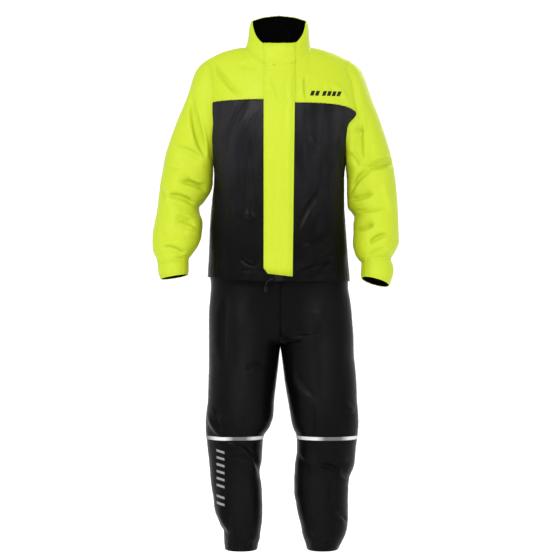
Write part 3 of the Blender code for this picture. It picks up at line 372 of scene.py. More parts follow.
# The smaller creases, drawn on the folds: x, z, to x, to z, how far the line bows to one
# side, width and height
CREASES = {
    ("body", FRONT): (
        (-192, -46, -112, -146, 5, 6, -5),
        (-196, -60, -190, -128, 3, 5, -2.5),
        (-214, -90, -172, -150, 4, 7, -2.5),
        (75, -92, 78, -164, 2, 4, -3.5),
        (62, -100, 60, -150, -2, 5, 2),
        (-64, -66, -110, -60, 4, 9, -2.5),
        (150, -110, 196, -158, -5, 8, 2.5),
        (120, -150, 128, -110, 2, 8, -1.5),
        (-90, -168, -150, -322, 8, 7, 4),
        (-118, -172, -168, -292, -5, 6, -3),
        (-64, -196, -92, -336, 10, 6, 4),
        (-54, -230, -68, -380, 6, 5, -3),
        (-92, -340, -66, -500, -12, 7, 4.5),
        (-108, -300, -96, -460, -9, 6, -3.5),
        (-122, -478, -62, -506, 5, 6, 4),
        (-112, -590, -64, -628, 5, 7, -3.4),
        (-150, -560, -140, -430, 6, 9, 2.5),
        (-176, -380, -160, -520, -6, 9, -2.5),
        (62, -652, 146, -592, 8, 6, 4.5),
        (76, -640, 150, -618, -5, 6, -3),
        (70, -578, 150, -536, 10, 9, 4),
        (52, -532, 126, -418, -9, 8, -4),
        (62, -470, 112, -380, 7, 8, 2.5),
        (92, -262, 116, -310, 3, 8, 3),
        (64, -260, 88, -352, 7, 7, -2.5),
        (168, -330, 150, -470, 6, 9, 2.5),
        (184, -220, 160, -300, -5, 8, -2.5),
    ),
    ("body", BACK): (
        (-150, -100, -90, -170, 6, 9, 3),
        (160, -90, 100, -176, -6, 9, 3),
        (-170, -240, -70, -330, 9, 9, -4),
        (175, -250, 80, -335, -9, 9, -4),
        (-60, -330, 20, -480, 10, 10, 4),
        (90, -350, 50, -520, 9, 8, -3.5),
        (-130, -420, -110, -560, -8, 9, 3.5),
        (150, -430, 120, -560, 8, 8, 3),
        (-90, -610, -20, -640, 6, 7, -3.5),
        (100, -600, 30, -636, -6, 7, -3.5),
    ),
    (RIGHT, FRONT): (
        (-252, -132, -220, -306, 8, 7, -4.5),
        (-234, -180, -206, -320, -5, 6, 3),
        (-306, -292, -226, -324, -7, 7, -4),
        (-330, -330, -280, -352, 5, 8, 3),
        (-280, -392, -208, -420, -8, 6, -5),
        (-262, -372, -214, -392, 5, 5, 3),
        (-320, -430, -242, -458, -8, 6, -5),
        (-344, -402, -326, -440, 4, 6, -4),
        (-296, -472, -246, -492, 5, 6, 3),
        (-282, -504, -238, -522, -5, 5, -4),
        (-270, -530, -226, -540, 4, 7, 3),
        (-330, -520, -290, -556, 6, 9, 2.5),
        (-334, -578, -266, -606, -7, 6, -5),
        (-310, -604, -262, -596, 4, 5, 2.5),
    ),
    (RIGHT, BACK): (
        (-260, -140, -225, -290, 8, 8, -4),
        (-330, -330, -240, -350, -6, 8, -4),
        (-330, -430, -240, -455, 6, 7, 3.5),
        (-340, -520, -260, -540, -6, 8, -4),
        (-330, -580, -270, -600, 5, 6, -3.5),
    ),
    (LEFT, FRONT): (
        (250, -348, 336, -334, 6, 5, -5),
        (270, -330, 330, -322, -4, 6, 3),
        (208, -418, 262, -356, -8, 6, -5),
        (204, -300, 238, -350, -6, 6, 3),
        (216, -236, 246, -250, 3, 5, -3.5),
        (200, -440, 268, -424, 5, 5, -5),
        (222, -474, 302, -464, 4, 5, -3.5),
        (210, -530, 268, -516, 3, 5, -5.5),
        (258, -570, 312, -542, -6, 5, -4),
        (250, -610, 306, -584, -6, 6, -4),
        (302, -552, 342, -548, 4, 6, 3),
        (245, -205, 247, -335, 1, 6, 2.8),
        (220, -270, 224, -345, 0, 14, -3.2),
        (300, -390, 330, -480, 5, 9, 2.5),
    ),
    (LEFT, BACK): (
        (225, -290, 262, -140, 8, 8, -4),
        (240, -356, 325, -330, -6, 8, -4),
        (236, -470, 322, -450, 6, 7, 3.5),
        (240, -550, 322, -534, -6, 8, -4),
        (256, -604, 312, -586, 5, 6, -3.5),
    ),
    ("legs", FRONT): (
        (14, -806, 108, -822, 8, 8, -4),
        (20, -842, 100, -824, 5, 7, 3),
        (60, -744, 132, -752, 5, 10, -3),
        (118, -700, 112, -980, -5, 16, 2.2),
        (46, -930, 108, -1010, 8, 9, -4),
        (-96, -930, -46, -906, -6, 6, -4),
        (-100, -800, -88, -980, 8, 10, 3.5),
        (-150, -720, -156, -900, 6, 10, -3),
        (-116, -1020, -100, -1110, 5, 8, 3),
        (-206, -1052, -160, -1118, 8, 8, 3.6),
        (-186, -1040, -140, -1112, -6, 7, -3.5),
        (-146, -1142, -72, -1196, -14, 7, 4.5),
        (-152, -1186, -84, -1186, -7, 6, -4),
        (-100, -1150, -54, -1232, -8, 6, -4),
        (-112, -1262, -116, -1340, 4, 8, 3.5),
        (-140, -1290, -146, -1380, 5, 8, -4),
        (-190, -1340, -150, -1404, 6, 6, -4),
        (-120, -1390, -70, -1420, 6, 8, 2.5),
        (104, -1020, 108, -1112, -5, 8, 3),
        (186, -1020, 216, -1052, 4, 9, 3),
        (120, -1204, 172, -1226, -6, 6, -4.5),
        (150, -1150, 200, -1190, 6, 8, 3),
        (60, -1170, 100, -1230, -8, 8, 3),
        (178, -1216, 212, -1248, 5, 6, -4),
        (148, -1230, 146, -1320, -4, 7, 3.5),
        (110, -1260, 116, -1350, 5, 8, -3),
        (162, -1340, 196, -1368, -5, 6, -3.5),
        (90, -1390, 150, -1410, 6, 8, 2.5),
    ),
    ("legs", BACK): (
        (-170, -700, -70, -780, 12, 10, -4),
        (175, -700, 70, -780, -12, 10, -4),
        (-30, -890, -120, -910, 8, 8, -4),
        (34, -890, 130, -910, -8, 8, -4),
        (-120, -960, -110, -1090, 8, 10, 4),
        (130, -960, 125, -1090, -8, 10, 4),
        (-180, -1150, -70, -1165, 8, 7, -4.5),
        (80, -1160, 205, -1150, 8, 7, -4.5),
        (-170, -1250, -80, -1240, -8, 7, -4),
        (75, -1240, 185, -1262, 8, 7, -4),
        (-150, -1350, -80, -1400, 6, 8, 3),
        (160, -1360, 90, -1400, 6, 8, 3),
    ),
    ("flap", FRONT): (
        (-30, -98, -8, -160, 2, 5, 2.4),
        (32, -98, 34, -170, 1, 5, 2.4),
        (30, -170, 22, -655, 2, 7, 2.6),
        (12, -250, 8, -600, 2, 8, 1.2),
        (-30, -420, -26, -600, 2, 9, 1),
        (-6, -628, 16, -650, 3, 6, -1.2),
    ),
}


# Surfaces: the frame's own formulas, for any grid of parameters


def ease(share):
    """A share held between 0 and 1, with a soft start and end."""
    share = np.clip(share, 0, 1)
    return share * share * (3 - 2 * share)


def bell(distance, width):
    """A bell curve, 1 where the distance is nothing: exp(-(distance / width)^2)."""
    return np.exp(-((distance / width) ** 2))


def rounded(share, power):
    """A superellipse's depth at a share of its half-width: (1 - share^power)^(1 / power)."""
    return np.clip(1 - share**power, 0, 1) ** (1 / power)


def smooth(at, known, values):
    """Values between a table's rows: a cubic through each two rows, whose slopes are the
    harmonic means of the steps beside them, so that it never overshoots a row."""
    step = np.diff(known)
    slope = np.diff(values) / step
    same_way = slope[:-1] * slope[1:] > 0
    total = np.where(same_way, slope[:-1] + slope[1:], 1)
    tangent = np.where(same_way, 2 * slope[:-1] * slope[1:] / total, 0)
    tangent = np.concatenate([slope[:1], tangent, slope[-1:]])
    at = np.clip(at, known[0], known[-1])
    row = np.clip(np.searchsorted(known, at, side="right") - 1, 0, len(step) - 1)
    share = (at - known[row]) / step[row]
    left = values[row] + step[row] * tangent[row] * share
    right = values[row + 1] - step[row] * tangent[row + 1] * (1 - share)
    return left + (right - left) * ease(share)


def side_name(side):
    return "right" if side == RIGHT else "left"


def face_name(face):
    return "front" if face == FRONT else "back"


def beside_line(x, z, x0, z0, x1, z1):
    """How far along a line each place lies, as a share of it, and how far beside it."""
    length = math.hypot(x1 - x0, z1 - z0)
    ux, uz = (x1 - x0) / length, (z1 - z0) / length
    along = ((x - x0) * ux + (z - z0) * uz) / length
    return along, (x - x0) * uz - (z - z0) * ux


def fold_shift(cloth, face, x, z):
    """How far the folds of one cloth move it outwards at places seen from the front: a
    bell curve across each fold's line, which fades at both ends."""
    shift = np.zeros(np.broadcast(x, z).shape)
    for sizes in FOLDS[cloth, face]:
        *line, width, height = (size * MM for size in sizes)
        along, across = beside_line(x, z, *line)
        ends = ease((0.5 + FOLD_FADE - abs(along - 0.5)) / (2 * FOLD_FADE))
        shift = shift + height * bell(across, width) * ends
    return shift


CREASE_END, CREASE_FADE = 0.62, 0.4  # a crease's half-length with its fade, and that fade
CREASE_TIP = 0.6  # how wide its ends are, as a share of its width
# The trough beside a crease, as shares of the crease's height and width
TROUGH_DEPTH, TROUGH_PLACE, TROUGH_WIDTH = 0.45, 1.9, 1.4


def crease_shift(cloth, face, x, z):
    """How far the creases of one cloth move it outwards: across each bowed line, a bell
    curve with a lower and wider one of the other sign beside it, narrower at the ends."""
    shift = np.zeros(np.broadcast(x, z).shape)
    for sizes in CREASES[cloth, face]:
        *line, bow, width, height = (size * MM for size in sizes)
        along, across = beside_line(x, z, *line)
        across = across - 4 * bow * along * (1 - along)
        ends = ease((CREASE_END - abs(along - 0.5)) / CREASE_FADE)
        steps = across / (width * (CREASE_TIP + (1 - CREASE_TIP) * ends))
        profile = bell(steps, 1) - TROUGH_DEPTH * bell(steps - TROUGH_PLACE, TROUGH_WIDTH)
        shift = shift + height * ends * profile
    return shift


def shoulder_line(x, side):
    """Height of the shoulder's crown over a distance from the middle of the body."""
    neck, point = NECK_POINT_X[side], SHOULDER_POINT_X[side]
    outside = np.clip((x - neck) / (point - neck), 0, None) ** SHOULDER_CURVE[side]
    inside = np.clip(1 - (x / neck) ** 2, 0, None)
    return SHOULDER_POINT_Z * outside + NECK_RISE * inside


def crown(z, top):
    """The share of the body's depth that is left at a height, nothing at the top."""
    climb = np.clip((z - CROWN_START_Z) / (top - CROWN_START_Z), 0, 1)
    return rounded(climb, CROWN_POWER)


def body_face(x, z, side, face):
    """The jacket body's y at a distance x from the middle and a height z, and its weight.

    The section at that height is a superellipse, and the chest's depth rounds off to
    nothing at the shoulder line, also as a superellipse.
    """
    width = smooth(z, BODY["z"], BODY[side_name(side)])
    section = rounded(x / width, SECTION_POWER)
    weight = section * crown(z, shoulder_line(x, side))
    return face * weight * smooth(z, BODY["z"], BODY[face_name(face)]), weight


def armhole_middle():
    """The height of the armhole's middle, and half its height."""
    return (SHOULDER_POINT_Z + UNDERARM_Z) / 2, (SHOULDER_POINT_Z - UNDERARM_Z) / 2


def armhole_angle(side, face, level):
    """The angle up the armhole, pi at the underarm and 0 at the shoulder point.

    The levels 1 to 2 run from the underarm to the yoke seam, and 2 to 3 on to the shoulder.
    """
    middle, rise = armhole_middle()
    at_yoke = math.acos((YOKE_Z[side, face][1] - middle) / rise)
    below = math.pi + (at_yoke - math.pi) * np.clip(level - 1, 0, 1)
    return np.where(level < 2, below, at_yoke * (3 - level))


def armhole_x(side, angle):
    """How far from the middle of the body the armhole's edge lies.

    Its front and back lie where the body is deep enough for an even oval.
    """
    middle, rise = armhole_middle()
    z = middle + rise * np.cos(angle)
    width = smooth(z, BODY["z"], BODY[side_name(side)])
    least, most = ARMHOLE_LIMITS
    reach = ARMHOLE_REACH * np.sin(angle) / np.maximum(crown(z, SHOULDER_POINT_Z), least)
    return width * rounded(np.minimum(reach, most), SECTION_POWER)


def body_quarter(side, face, across, level):
    """Points of one quarter of the jacket's body.

    across runs from the centre (0) to the side seam and armhole (1). level runs from the
    hem (0) past the underarm (1) and the yoke seam (2) to the shoulder and neck (3). x and
    z blend from the centre's lines to the armhole's, and y is the section's depth there.
    """
    across, level = np.asarray(across)[None, :], np.asarray(level)[:, None]
    start = ZIP_HALF if face == FRONT else 0.0
    spread = np.sin(across * math.pi / 2)
    angle = armhole_angle(side, face, np.clip(level, 1, 3))
    middle, rise = armhole_middle()
    arm_z = middle + rise * np.cos(angle)
    arm_x = armhole_x(side, angle)

    neck_turn = np.clip(across / NECK_SHARE, 0, 1) * math.pi / 2
    neck, point = NECK_POINT_X[side], SHOULDER_POINT_X[side]
    along_shoulder = np.clip((across - NECK_SHARE) / (1 - NECK_SHARE), 0, 1)
    top_x = start + (neck - start) * np.sin(neck_turn) + (point - neck) * along_shoulder
    on_neck = -NECK_DROP[face] * np.cos(neck_turn) ** NECK_CURVE[face]
    top_z = np.where(across < NECK_SHARE, on_neck, shoulder_line(top_x, side))

    yoke_mid, yoke_arm = YOKE_Z[side, face]
    yoke_z = yoke_mid + (yoke_arm - yoke_mid) * across ** YOKE_CURVE[side]
    hem_z = HEM_MIDDLE_Z + (HEM_Z[side] - HEM_MIDDLE_Z) * spread**2
    body_z = hem_z + (UNDERARM_Z - hem_z) * np.clip(level, 0, 1)
    chest_z = UNDERARM_Z + (yoke_z - UNDERARM_Z) * (arm_z - UNDERARM_Z) / (yoke_arm - UNDERARM_Z)
    upper_z = yoke_z + (top_z - yoke_z) * (arm_z - yoke_arm) / (SHOULDER_POINT_Z - yoke_arm)
    z = np.where(level <= 1, body_z, np.where(level <= 2, chest_z, upper_z))

    climb = (arm_z - UNDERARM_Z) / (SHOULDER_POINT_Z - UNDERARM_Z)
    width = smooth(np.minimum(z, UNDERARM_Z), BODY["z"], BODY[side_name(side)])
    low_x = start + (width - start) * spread
    pulled = arm_x - (1 - climb) * width[:, -1:] - climb * point
    high_x = (1 - climb) * low_x + climb * top_x + pulled * spread**ARMHOLE_PULL
    x = np.where(level <= 1, low_x, high_x)

    y, weight = body_face(x, z, side, face)
    fade = np.where(level > 1, 1 - spread**ARMHOLE_PULL, 1) * np.clip((3 - level) * 2, 0, 1)
    y = y + face * weight * fade * fold_shift("body", face, side * x, z)
    return np.stack([side * x, y, z + 0 * x], -1)


def collar_quarter(side, face, across, height):
    """Points of one quarter of the collar, from the centre (0) to the neck point (1): the
    neck seam below, an oval above it, and a share of both between."""
    base = body_quarter(side, face, np.asarray(across) * NECK_SHARE, [3.0])
    turn = np.asarray(across)[None, :] * math.pi / 2
    height = np.asarray(height)[:, None]
    start = ZIP_HALF if face == FRONT else 0.0
    degrees = np.degrees(turn) if face == FRONT else 180 - np.degrees(turn)
    roll = 1 - COLLAR_ROLL * height**COLLAR_ROLL_POWER
    top_x = side * (start + (COLLAR_HALF_WIDTH - start) * np.sin(turn) * roll)
    top_y = face * COLLAR_DEPTH[face] * np.cos(turn) * roll
    top_z = smooth(degrees * MM, COLLAR_EDGE["turn"], COLLAR_EDGE["z"])
    quickly = 1 - (1 - height) ** COLLAR_FLARE
    x = base[..., 0] + (top_x - base[..., 0]) * quickly
    y = base[..., 1] + (top_y - base[..., 1]) * quickly
    z = base[..., 2] + (top_z - base[..., 2]) * height
    return np.stack([x, y, z], -1)


def around_armhole(side, chest, yoke):
    """The armhole's angle and points, from the underarm up the front and down the back."""
    levels = np.concatenate([np.linspace(1, 2, chest + 1), np.linspace(2, 3, yoke + 1)[1:]])
    front = body_quarter(side, FRONT, [1.0], levels)[:, 0]
    back = body_quarter(side, BACK, [1.0], levels)[:, 0]
    angle = armhole_angle(side, FRONT, levels)
    behind = 2 * math.pi - armhole_angle(side, BACK, levels)
    points = np.concatenate([front, back[::-1][1:]])
    return np.concatenate([angle, behind[::-1][1:]]), points


def oval(angle, power):
    """The cosine and sine of an angle, squared off as a superellipse's are."""
    return tuple(np.sign(v) * abs(v) ** (2 / power) for v in (np.cos(angle), np.sin(angle)))


def along_oval(size, axis, out):
    """Places along an axis on an oval between its inner (-1) and its outer line (1)."""
    outer, inner = size[f"{axis}_out"], size[f"{axis}_in"]
    return (outer + inner) / 2 + (outer - inner) / 2 * out


def sleeve_rings(side, stations, chest, yoke):
    """Rings across a sleeve, each an oval between its outer and its inner line. The
    armhole's own shape fades out of the rings over the sleeve's cap.

    Returns the rings and how squarely each point faces the front (1) or the back (-1).
    """
    rows = SLEEVE[side]
    known = np.arange(len(rows["depth"]), dtype=float)
    at = {name: smooth(stations, known, rows[name])[:, None] for name in rows}
    angle, armhole = around_armhole(side, chest, yoke)
    out, forth = oval(angle[None, :], SLEEVE_POWER)

    def ring(size):
        x, z = along_oval(size, "x", out), along_oval(size, "z", out)
        y = -size["forward"] - size["depth"] * forth
        return np.stack([side * x, y, z + size["raised"] * forth], -1)

    first = ring({name: rows[name][:1, None] for name in rows})
    fade = np.clip(1 - stations / CAP_ROWS, 0, 1)[:, None, None] ** 2
    rings = ring(at) + fade * (armhole[None] - first)
    clear = np.clip(stations / 2, 0, 1)[:, None]
    for face, part in ((FRONT, forth > 0), (BACK, forth < 0)):
        shift = fold_shift(side, face, rings[..., 0], rings[..., 2])
        rings[..., 1] += face * shift * abs(forth) * part * clear
    return rings, forth + 0 * rings[..., 0]


def leg_quarter(side, face, across, levels):
    """Points of one trouser panel, from its inner seam (0) to its side seam (1), and how
    squarely each faces its side.

    A level is a height and how far the inner seam has turned from the trunk's centre to a
    leg, 0 to 1. Away from that seam the section turns over a longer stretch.
    """
    across = np.asarray(across)[None, :]
    turn = across * math.pi
    z, seam_share = levels[:, :1], levels[:, 1:]
    leg_share = ease((z - LEG_BLEND_Z[0]) / (LEG_BLEND_Z[1] - LEG_BLEND_Z[0]))
    leg_share = seam_share + (leg_share - seam_share) * ease(across / SEAM_REACH)
    trunk = {name: smooth(z, TRUNK["z"], TRUNK[name]) for name in TRUNK}
    leg = {name: smooth(z, LEGS[side]["z"], LEGS[side][name]) for name in LEGS[side]}

    spread = np.sin(turn / 2)
    trunk_x = side * CROTCH_X + (trunk[side_name(side)] - side * CROTCH_X) * spread
    section = rounded(spread, TRUNK_POWER)
    trunk_y = face * trunk[face_name(face)] * section

    out, forth = oval(math.pi - turn, LEG_POWER)
    leg_x = along_oval(leg, "x", out)
    leg_y = leg["middle"] + face * leg[face_name(face)] * forth

    x = side * ((1 - leg_share) * trunk_x + leg_share * leg_x)
    y = (1 - leg_share) * trunk_y + leg_share * leg_y
    weight = (1 - leg_share) * section + leg_share * forth
    y = y + face * weight * fold_shift("legs", face, x, z)
    return np.stack([x, y, z + 0 * x], -1), weight


# Grids: even steps, with closer ones where a seam rolls in or a stitch line presses


EDGE_STEPS = np.array([0, 0.7, 1.6, 3.2, 4.8, 6, 7.2, 9.6]) * MM
MARK_STEPS = np.array([-1.3, 0, 1.3]) * MM  # the close steps round a mark
LEVEL_LENGTHS = np.array([0, 340, 530, 700]) * MM  # along the body at its whole levels
CROTCH_ROWS = 1.5  # for each step of the crotch's fall
STITCH_AT = 6 * MM  # how far from a seam its stitching runs
FOLD_STITCH_AT = 6 * MM  # how far from the edge of cloth that is folded double
HEM_STITCH_AT = {"jacket": 27 * MM, "trousers": 22 * MM, "cuff": 7 * MM}


def spaced(length, step, marks=()):
    """Shares from 0 to 1 of a length: even steps, the close ones at both ends, and three
    close ones at each marked distance from the start."""
    inner = np.arange(EDGE_STEPS[-1] + step, length - EDGE_STEPS[-1] - step / 2, step)
    at = np.concatenate([EDGE_STEPS, inner, length - EDGE_STEPS])
    for mark in marks:
        at = at[abs(at - mark) > step / 2]
        at = np.concatenate([at, mark + MARK_STEPS])
    return np.sort(at) / length


def body_levels(first, last, step, marks=()):
    """Levels of the jacket's body at even steps of height."""
    length = LEVEL_LENGTHS[first : last + 1]
    whole = length[-1] - length[0]
    at = length[0] + spaced(whole, step, marks) * whole
    return np.interp(at, length, np.arange(first, last + 1))


def leg_levels(step, marks):
    """The trousers' heights, with the share of a leg in each: the centre seam runs down to
    the crotch's start, a quarter ellipse to the crotch, and the inner seam to the hem."""
    fall = CROTCH_TOP_Z - CROTCH_Z
    angle = np.linspace(0, math.pi / 2, round(CROTCH_ROWS * fall / step))
    curve = np.stack([CROTCH_TOP_Z - fall * np.sin(angle), 1 - np.cos(angle)], -1)
    hips = WAIST_SEAM_Z - CROTCH_TOP_Z
    above = WAIST_SEAM_Z - hips * spaced(hips, step)
    above = above[above > CROTCH_TOP_Z + step]
    shank = CROTCH_Z - TROUSER_HEM_Z
    below = TROUSER_HEM_Z + shank * spaced(shank, step, [*marks, HEM_STITCH_AT["trousers"]])
    below = below[below < CROTCH_Z - step / 2][::-1]
    rows = [np.stack([above, 0 * above], -1), curve, np.stack([below, 1 + 0 * below], -1)]
    return np.concatenate(rows)


def run(grid, axis):
    """The distance along a grid's columns (axis 0) or rows (axis 1) from its first point."""
    steps = np.linalg.norm(np.diff(grid, axis=axis), axis=-1)
    return np.concatenate([np.zeros_like(steps.take([0], axis)), np.cumsum(steps, axis)], axis)


def outward(grid, sign, closed):
    """The way out of a grid: the cross product of the steps along its rows and columns."""
    if closed:
        ring = grid[:, :-1]
        along = np.roll(ring, -1, 1) - np.roll(ring, 1, 1)
        along = np.concatenate([along, along[:, :1]], 1)
    else:
        along = np.gradient(grid, axis=1)
    normal = sign * np.cross(along, np.gradient(grid, axis=0))
    return normal / np.maximum(np.linalg.norm(normal, axis=-1, keepdims=True), 1e-12)


GROOVE = {"hi_vis_cloth": 0.7 * MM, "black_cloth": 2.2 * MM}  # how far it turns in at a seam
GROOVE_WIDTH = 2.4 * MM
ROLL, ROLL_WIDTH = 0.5, 1.3 * MM  # how far a folded edge rounds over, as a share of its wall
PRESSED, PRESSED_WIDTH = 0.35 * MM, 1 * MM  # where a row of stitches presses it down
SEAM_HOLD = 9 * MM  # how far a seam keeps the cloth flat
PUCKER, PUCKER_STEP, PUCKER_REACH = 0.45 * MM, 17 * MM, 11 * MM
HEM_PRESSED, HEM_PUCKER, HEM_REACH = 1.5, 1.4, 1.5  # how much more all three are at a hem


def from_edge(grid, edge):
    """How far each point lies from one edge of its grid, and along that edge."""
    down, across = run(grid, 0), run(grid, 1)
    return {
        "first_row": (down, across),
        "last_row": (down[-1:] - down, across),
        "first_column": (across, down),
        "last_column": (across[:, -1:] - across, down),
    }[edge]


def dressed(grid, sign, closed, relief, seams, hems, groove, thick):
    """The cloth's outer face: its grid moved out by its relief, which fades towards its
    seams. A seam turns in at its edge, and puckers in uneven waves beside its stitching.
    hems gives an edge's distance to the row of stitches that holds its fold, and the
    fold's own edge rounds over."""
    held = 1.0
    shift = 0.0
    for edge in seams:
        distance, along = from_edge(grid, edge)
        held = held * (1 - bell(distance, SEAM_HOLD))
        joined = ease(distance / EDGE_STEPS[1])
        shift = shift - groove * joined * bell(distance, GROOVE_WIDTH)
        shift = shift - PRESSED * bell(distance - STITCH_AT, PRESSED_WIDTH)
        shift = shift + puckers(along) * joined * np.exp(-distance / PUCKER_REACH)
    for edge, depth in hems.items():
        distance, along = from_edge(grid, edge)
        shift = shift - HEM_PRESSED * PRESSED * bell(distance - depth, PRESSED_WIDTH)
        near = bell((distance - depth) / PUCKER_REACH, HEM_REACH)
        shift = shift + HEM_PUCKER * puckers(along) * near
        shift = shift - ROLL * thick * bell(distance, ROLL_WIDTH)
    shift = shift + relief * held
    return grid + np.asarray(shift)[..., None] * outward(grid, sign, closed)


def puckers(along):
    """Uneven small waves along a seam: a sine whose phase drifts with two slower ones."""
    turn = 2 * math.pi * along
    drift = 1.9 * np.sin(turn / (97 * MM)) + 1.3 * np.sin(turn / (41 * MM) + 1)
    return PUCKER * np.sin(turn / PUCKER_STEP + drift)


# Meshes


def mesh_object(name, points, faces, material, uv=None):
    """An object from arrays: points, face arrays of three or four corners, and the UV of
    each face's corners."""
    faces = [np.asarray(block).reshape(-1, block.shape[-1]) for block in faces]
    sizes = np.concatenate([np.full(len(block), block.shape[1]) for block in faces])
    mesh = bpy.data.meshes.new(name)
    mesh.vertices.add(len(points))
    mesh.vertices.foreach_set("co", np.asarray(points, np.float32).ravel())
    mesh.loops.add(int(sizes.sum()))
    loops = np.concatenate([block.ravel() for block in faces])
    mesh.loops.foreach_set("vertex_index", loops.astype(np.int32))
    mesh.polygons.add(len(sizes))
    starts = np.concatenate([[0], np.cumsum(sizes)[:-1]])
    mesh.polygons.foreach_set("loop_start", starts.astype(np.int32))
    if uv is not None:
        layer = mesh.uv_layers.new(name="UVMap")
        layer.data.foreach_set("uv", np.asarray(uv, np.float32).ravel())
    mesh.update(calc_edges=True)
    mesh.shade_smooth()
    mesh.materials.append(material)
    made = bpy.data.objects.new(name, mesh)
    bpy.context.scene.collection.objects.link(made)
    return made


def cloth_object(name, outer, inner, sign, closed, material):
    """A closed wall between two grids, with the cloth's own distances as its UV map."""
    rows, columns = outer.shape[:2]
    kept = columns - 1 if closed else columns
    points = np.concatenate([outer[:, :kept].reshape(-1, 3), inner[:, :kept].reshape(-1, 3)])
    places = np.stack([run(outer, 1), run(outer, 0)], -1)
    r, c = np.meshgrid(np.arange(rows - 1), np.arange(columns - 1), indexing="ij")
    corner_r = np.stack([r, r, r + 1, r + 1], -1).reshape(-1, 4)
    corner_c = np.stack([c, c + 1, c + 1, c], -1).reshape(-1, 4)
    layer = np.zeros_like(corner_r)
    inside = (corner_r, corner_c, 1 - layer)
    blocks = [(corner_r, corner_c, layer), tuple(a[:, ::-1] for a in inside)]
    rims = [(0, False, False), (rows - 1, True, False)]
    if not closed:
        rims += [(0, True, True), (columns - 1, False, True)]
    for place, turned, is_column in rims:
        count = (rows if is_column else columns) - 1
        k = np.arange(count)
        run_along = np.stack([k + 1, k, k, k + 1], -1)
        fixed = np.full_like(run_along, place)
        side = np.tile([0, 0, 1, 1], (count, 1))
        block = (run_along, fixed, side) if is_column else (fixed, run_along, side)
        blocks.append(tuple(a[:, ::-1] for a in block) if turned else block)
    corner_r, corner_c, layer = (np.concatenate([b[i] for b in blocks]) for i in range(3))
    faces = layer * rows * kept + corner_r * kept + corner_c % kept
    uv = places[corner_r, corner_c]
    if sign < 0:
        faces, uv = faces[:, ::-1], uv[:, ::-1]
    return mesh_object(name, points, [faces], material, uv)


def line_on(outer, sign, closed, edge, distance):
    """Points and outward directions at a distance from one edge of a grid, by a straight
    share between the two rows or columns beside it."""
    out = outward(outer, sign, closed)
    if "column" in edge:
        outer, out = outer.swapaxes(0, 1), out.swapaxes(0, 1)
    if "last" in edge:
        outer, out = outer[::-1], out[::-1]
    down = run(outer, 0)
    row = np.clip((down < distance).sum(0) - 1, 0, len(outer) - 2)
    c = np.arange(outer.shape[1])
    share = ((distance - down[row, c]) / (down[row + 1, c] - down[row, c]))[:, None]
    mixed = [a[row, c] * (1 - share) + a[row + 1, c] * share for a in (outer, out)]
    return mixed[0], mixed[1]


def at_lengths(at, length, values):
    """Points or directions at distances along a line whose own distances are length."""
    return np.stack([np.interp(at, length, values[:, k]) for k in range(3)], -1)


STITCH_END, STITCH_SHOULDER = 0.5, 0.3  # along a stitch from its middle, in lengths
STITCH_SINK, STITCH_HALF, STITCH_TOP = -0.4, 0.5, 0.6  # its ends, sides and top, in widths


def stitch_object(name, lines, sizes, material):
    """Rows of stitches along lines of points: each is a bar with four sides that tapers to
    a point at both ends, where the thread goes into the cloth."""
    template = [(-STITCH_END, STITCH_SINK, 0), (STITCH_END, STITCH_SINK, 0)]
    for end in (-STITCH_SHOULDER, STITCH_SHOULDER):
        template += [(end, STITCH_TOP, 0), (end, 0, STITCH_HALF)]
        template += [(end, -STITCH_TOP, 0), (end, 0, -STITCH_HALF)]
    template = np.array(template) * (sizes.stitch_length, sizes.stitch_width, sizes.stitch_width)
    ring = np.arange(4)
    after = (ring + 1) % 4
    near_end = np.stack([0 * ring, 2 + after, 2 + ring], -1)
    far_end = np.stack([0 * ring + 1, 6 + ring, 6 + after], -1)
    bars = np.stack([2 + ring, 2 + after, 6 + after, 6 + ring], -1)
    points = []
    for line, out in lines:
        length = run(line[None], 1)[0]
        at = np.arange(sizes.stitch_pitch / 2, length[-1], sizes.stitch_pitch)
        ahead = at_lengths(at + sizes.stitch_length / 2, length, line)
        tangent = ahead - at_lengths(at - sizes.stitch_length / 2, length, line)
        tangent /= np.linalg.norm(tangent, axis=-1, keepdims=True)
        up = at_lengths(at, length, out)
        axes = np.stack([tangent, up, np.cross(tangent, up)], 1)
        middle = at_lengths(at, length, line)
        points.append(middle[:, None] + np.einsum("ij,kjl->kil", template, axes))
    points = np.concatenate(points)
    starts = np.arange(len(points))[:, None, None] * len(template)
    caps = np.concatenate([near_end, far_end])
    faces = [(starts + caps[None]).reshape(-1, 3), (starts + bars[None]).reshape(-1, 4)]
    return mesh_object(name, points.reshape(-1, 3), faces, material)


def length_property(name, description, default):
    return FloatProperty(name=name, description=description, default=default, unit="LENGTH")


class SuitSizes(PropertyGroup):
    """The sizes of the suit's finer form and of its sewing."""

    grid_step: length_property("Grid step", "Between the points of a panel's grid", 4.5 * MM)
    crease_depth: FloatProperty(
        name="Crease depth",
        description="How deep the creases are, as a share of their own heights",
        default=1.6,
        subtype="FACTOR",
    )
    stitch_length: length_property("Stitch length", "The thread that shows in a stitch", 3 * MM)
    stitch_pitch: length_property("Stitch pitch", "From one stitch to the next", 3.7 * MM)
    stitch_width: length_property("Thread width", "Width of the sewing thread", 0.7 * MM)
    view_distance: length_property("View distance", "From the camera to the suit's middle", 6.0)
    view_width: length_property("View width", "What the camera sees at the suit", 1.624)


def linear(hex_colour):
    """A colour for Blender from its sRGB hex value."""
    values = np.array([int(hex_colour[k : k + 2], 16) / 255 for k in (1, 3, 5)])
    low = values / 12.92
    high = ((values + 0.055) / 1.055) ** 2.4
    return tuple(float(v) for v in np.where(values <= 0.04045, low, high))


def colour_property(name, description, hex_colour):
    """A colour of the suit, with its sRGB hex value as its default."""
    settings = {"subtype": "COLOR", "min": 0, "max": 1, "default": linear(hex_colour)}
    return FloatVectorProperty(name=name, description=description, **settings)


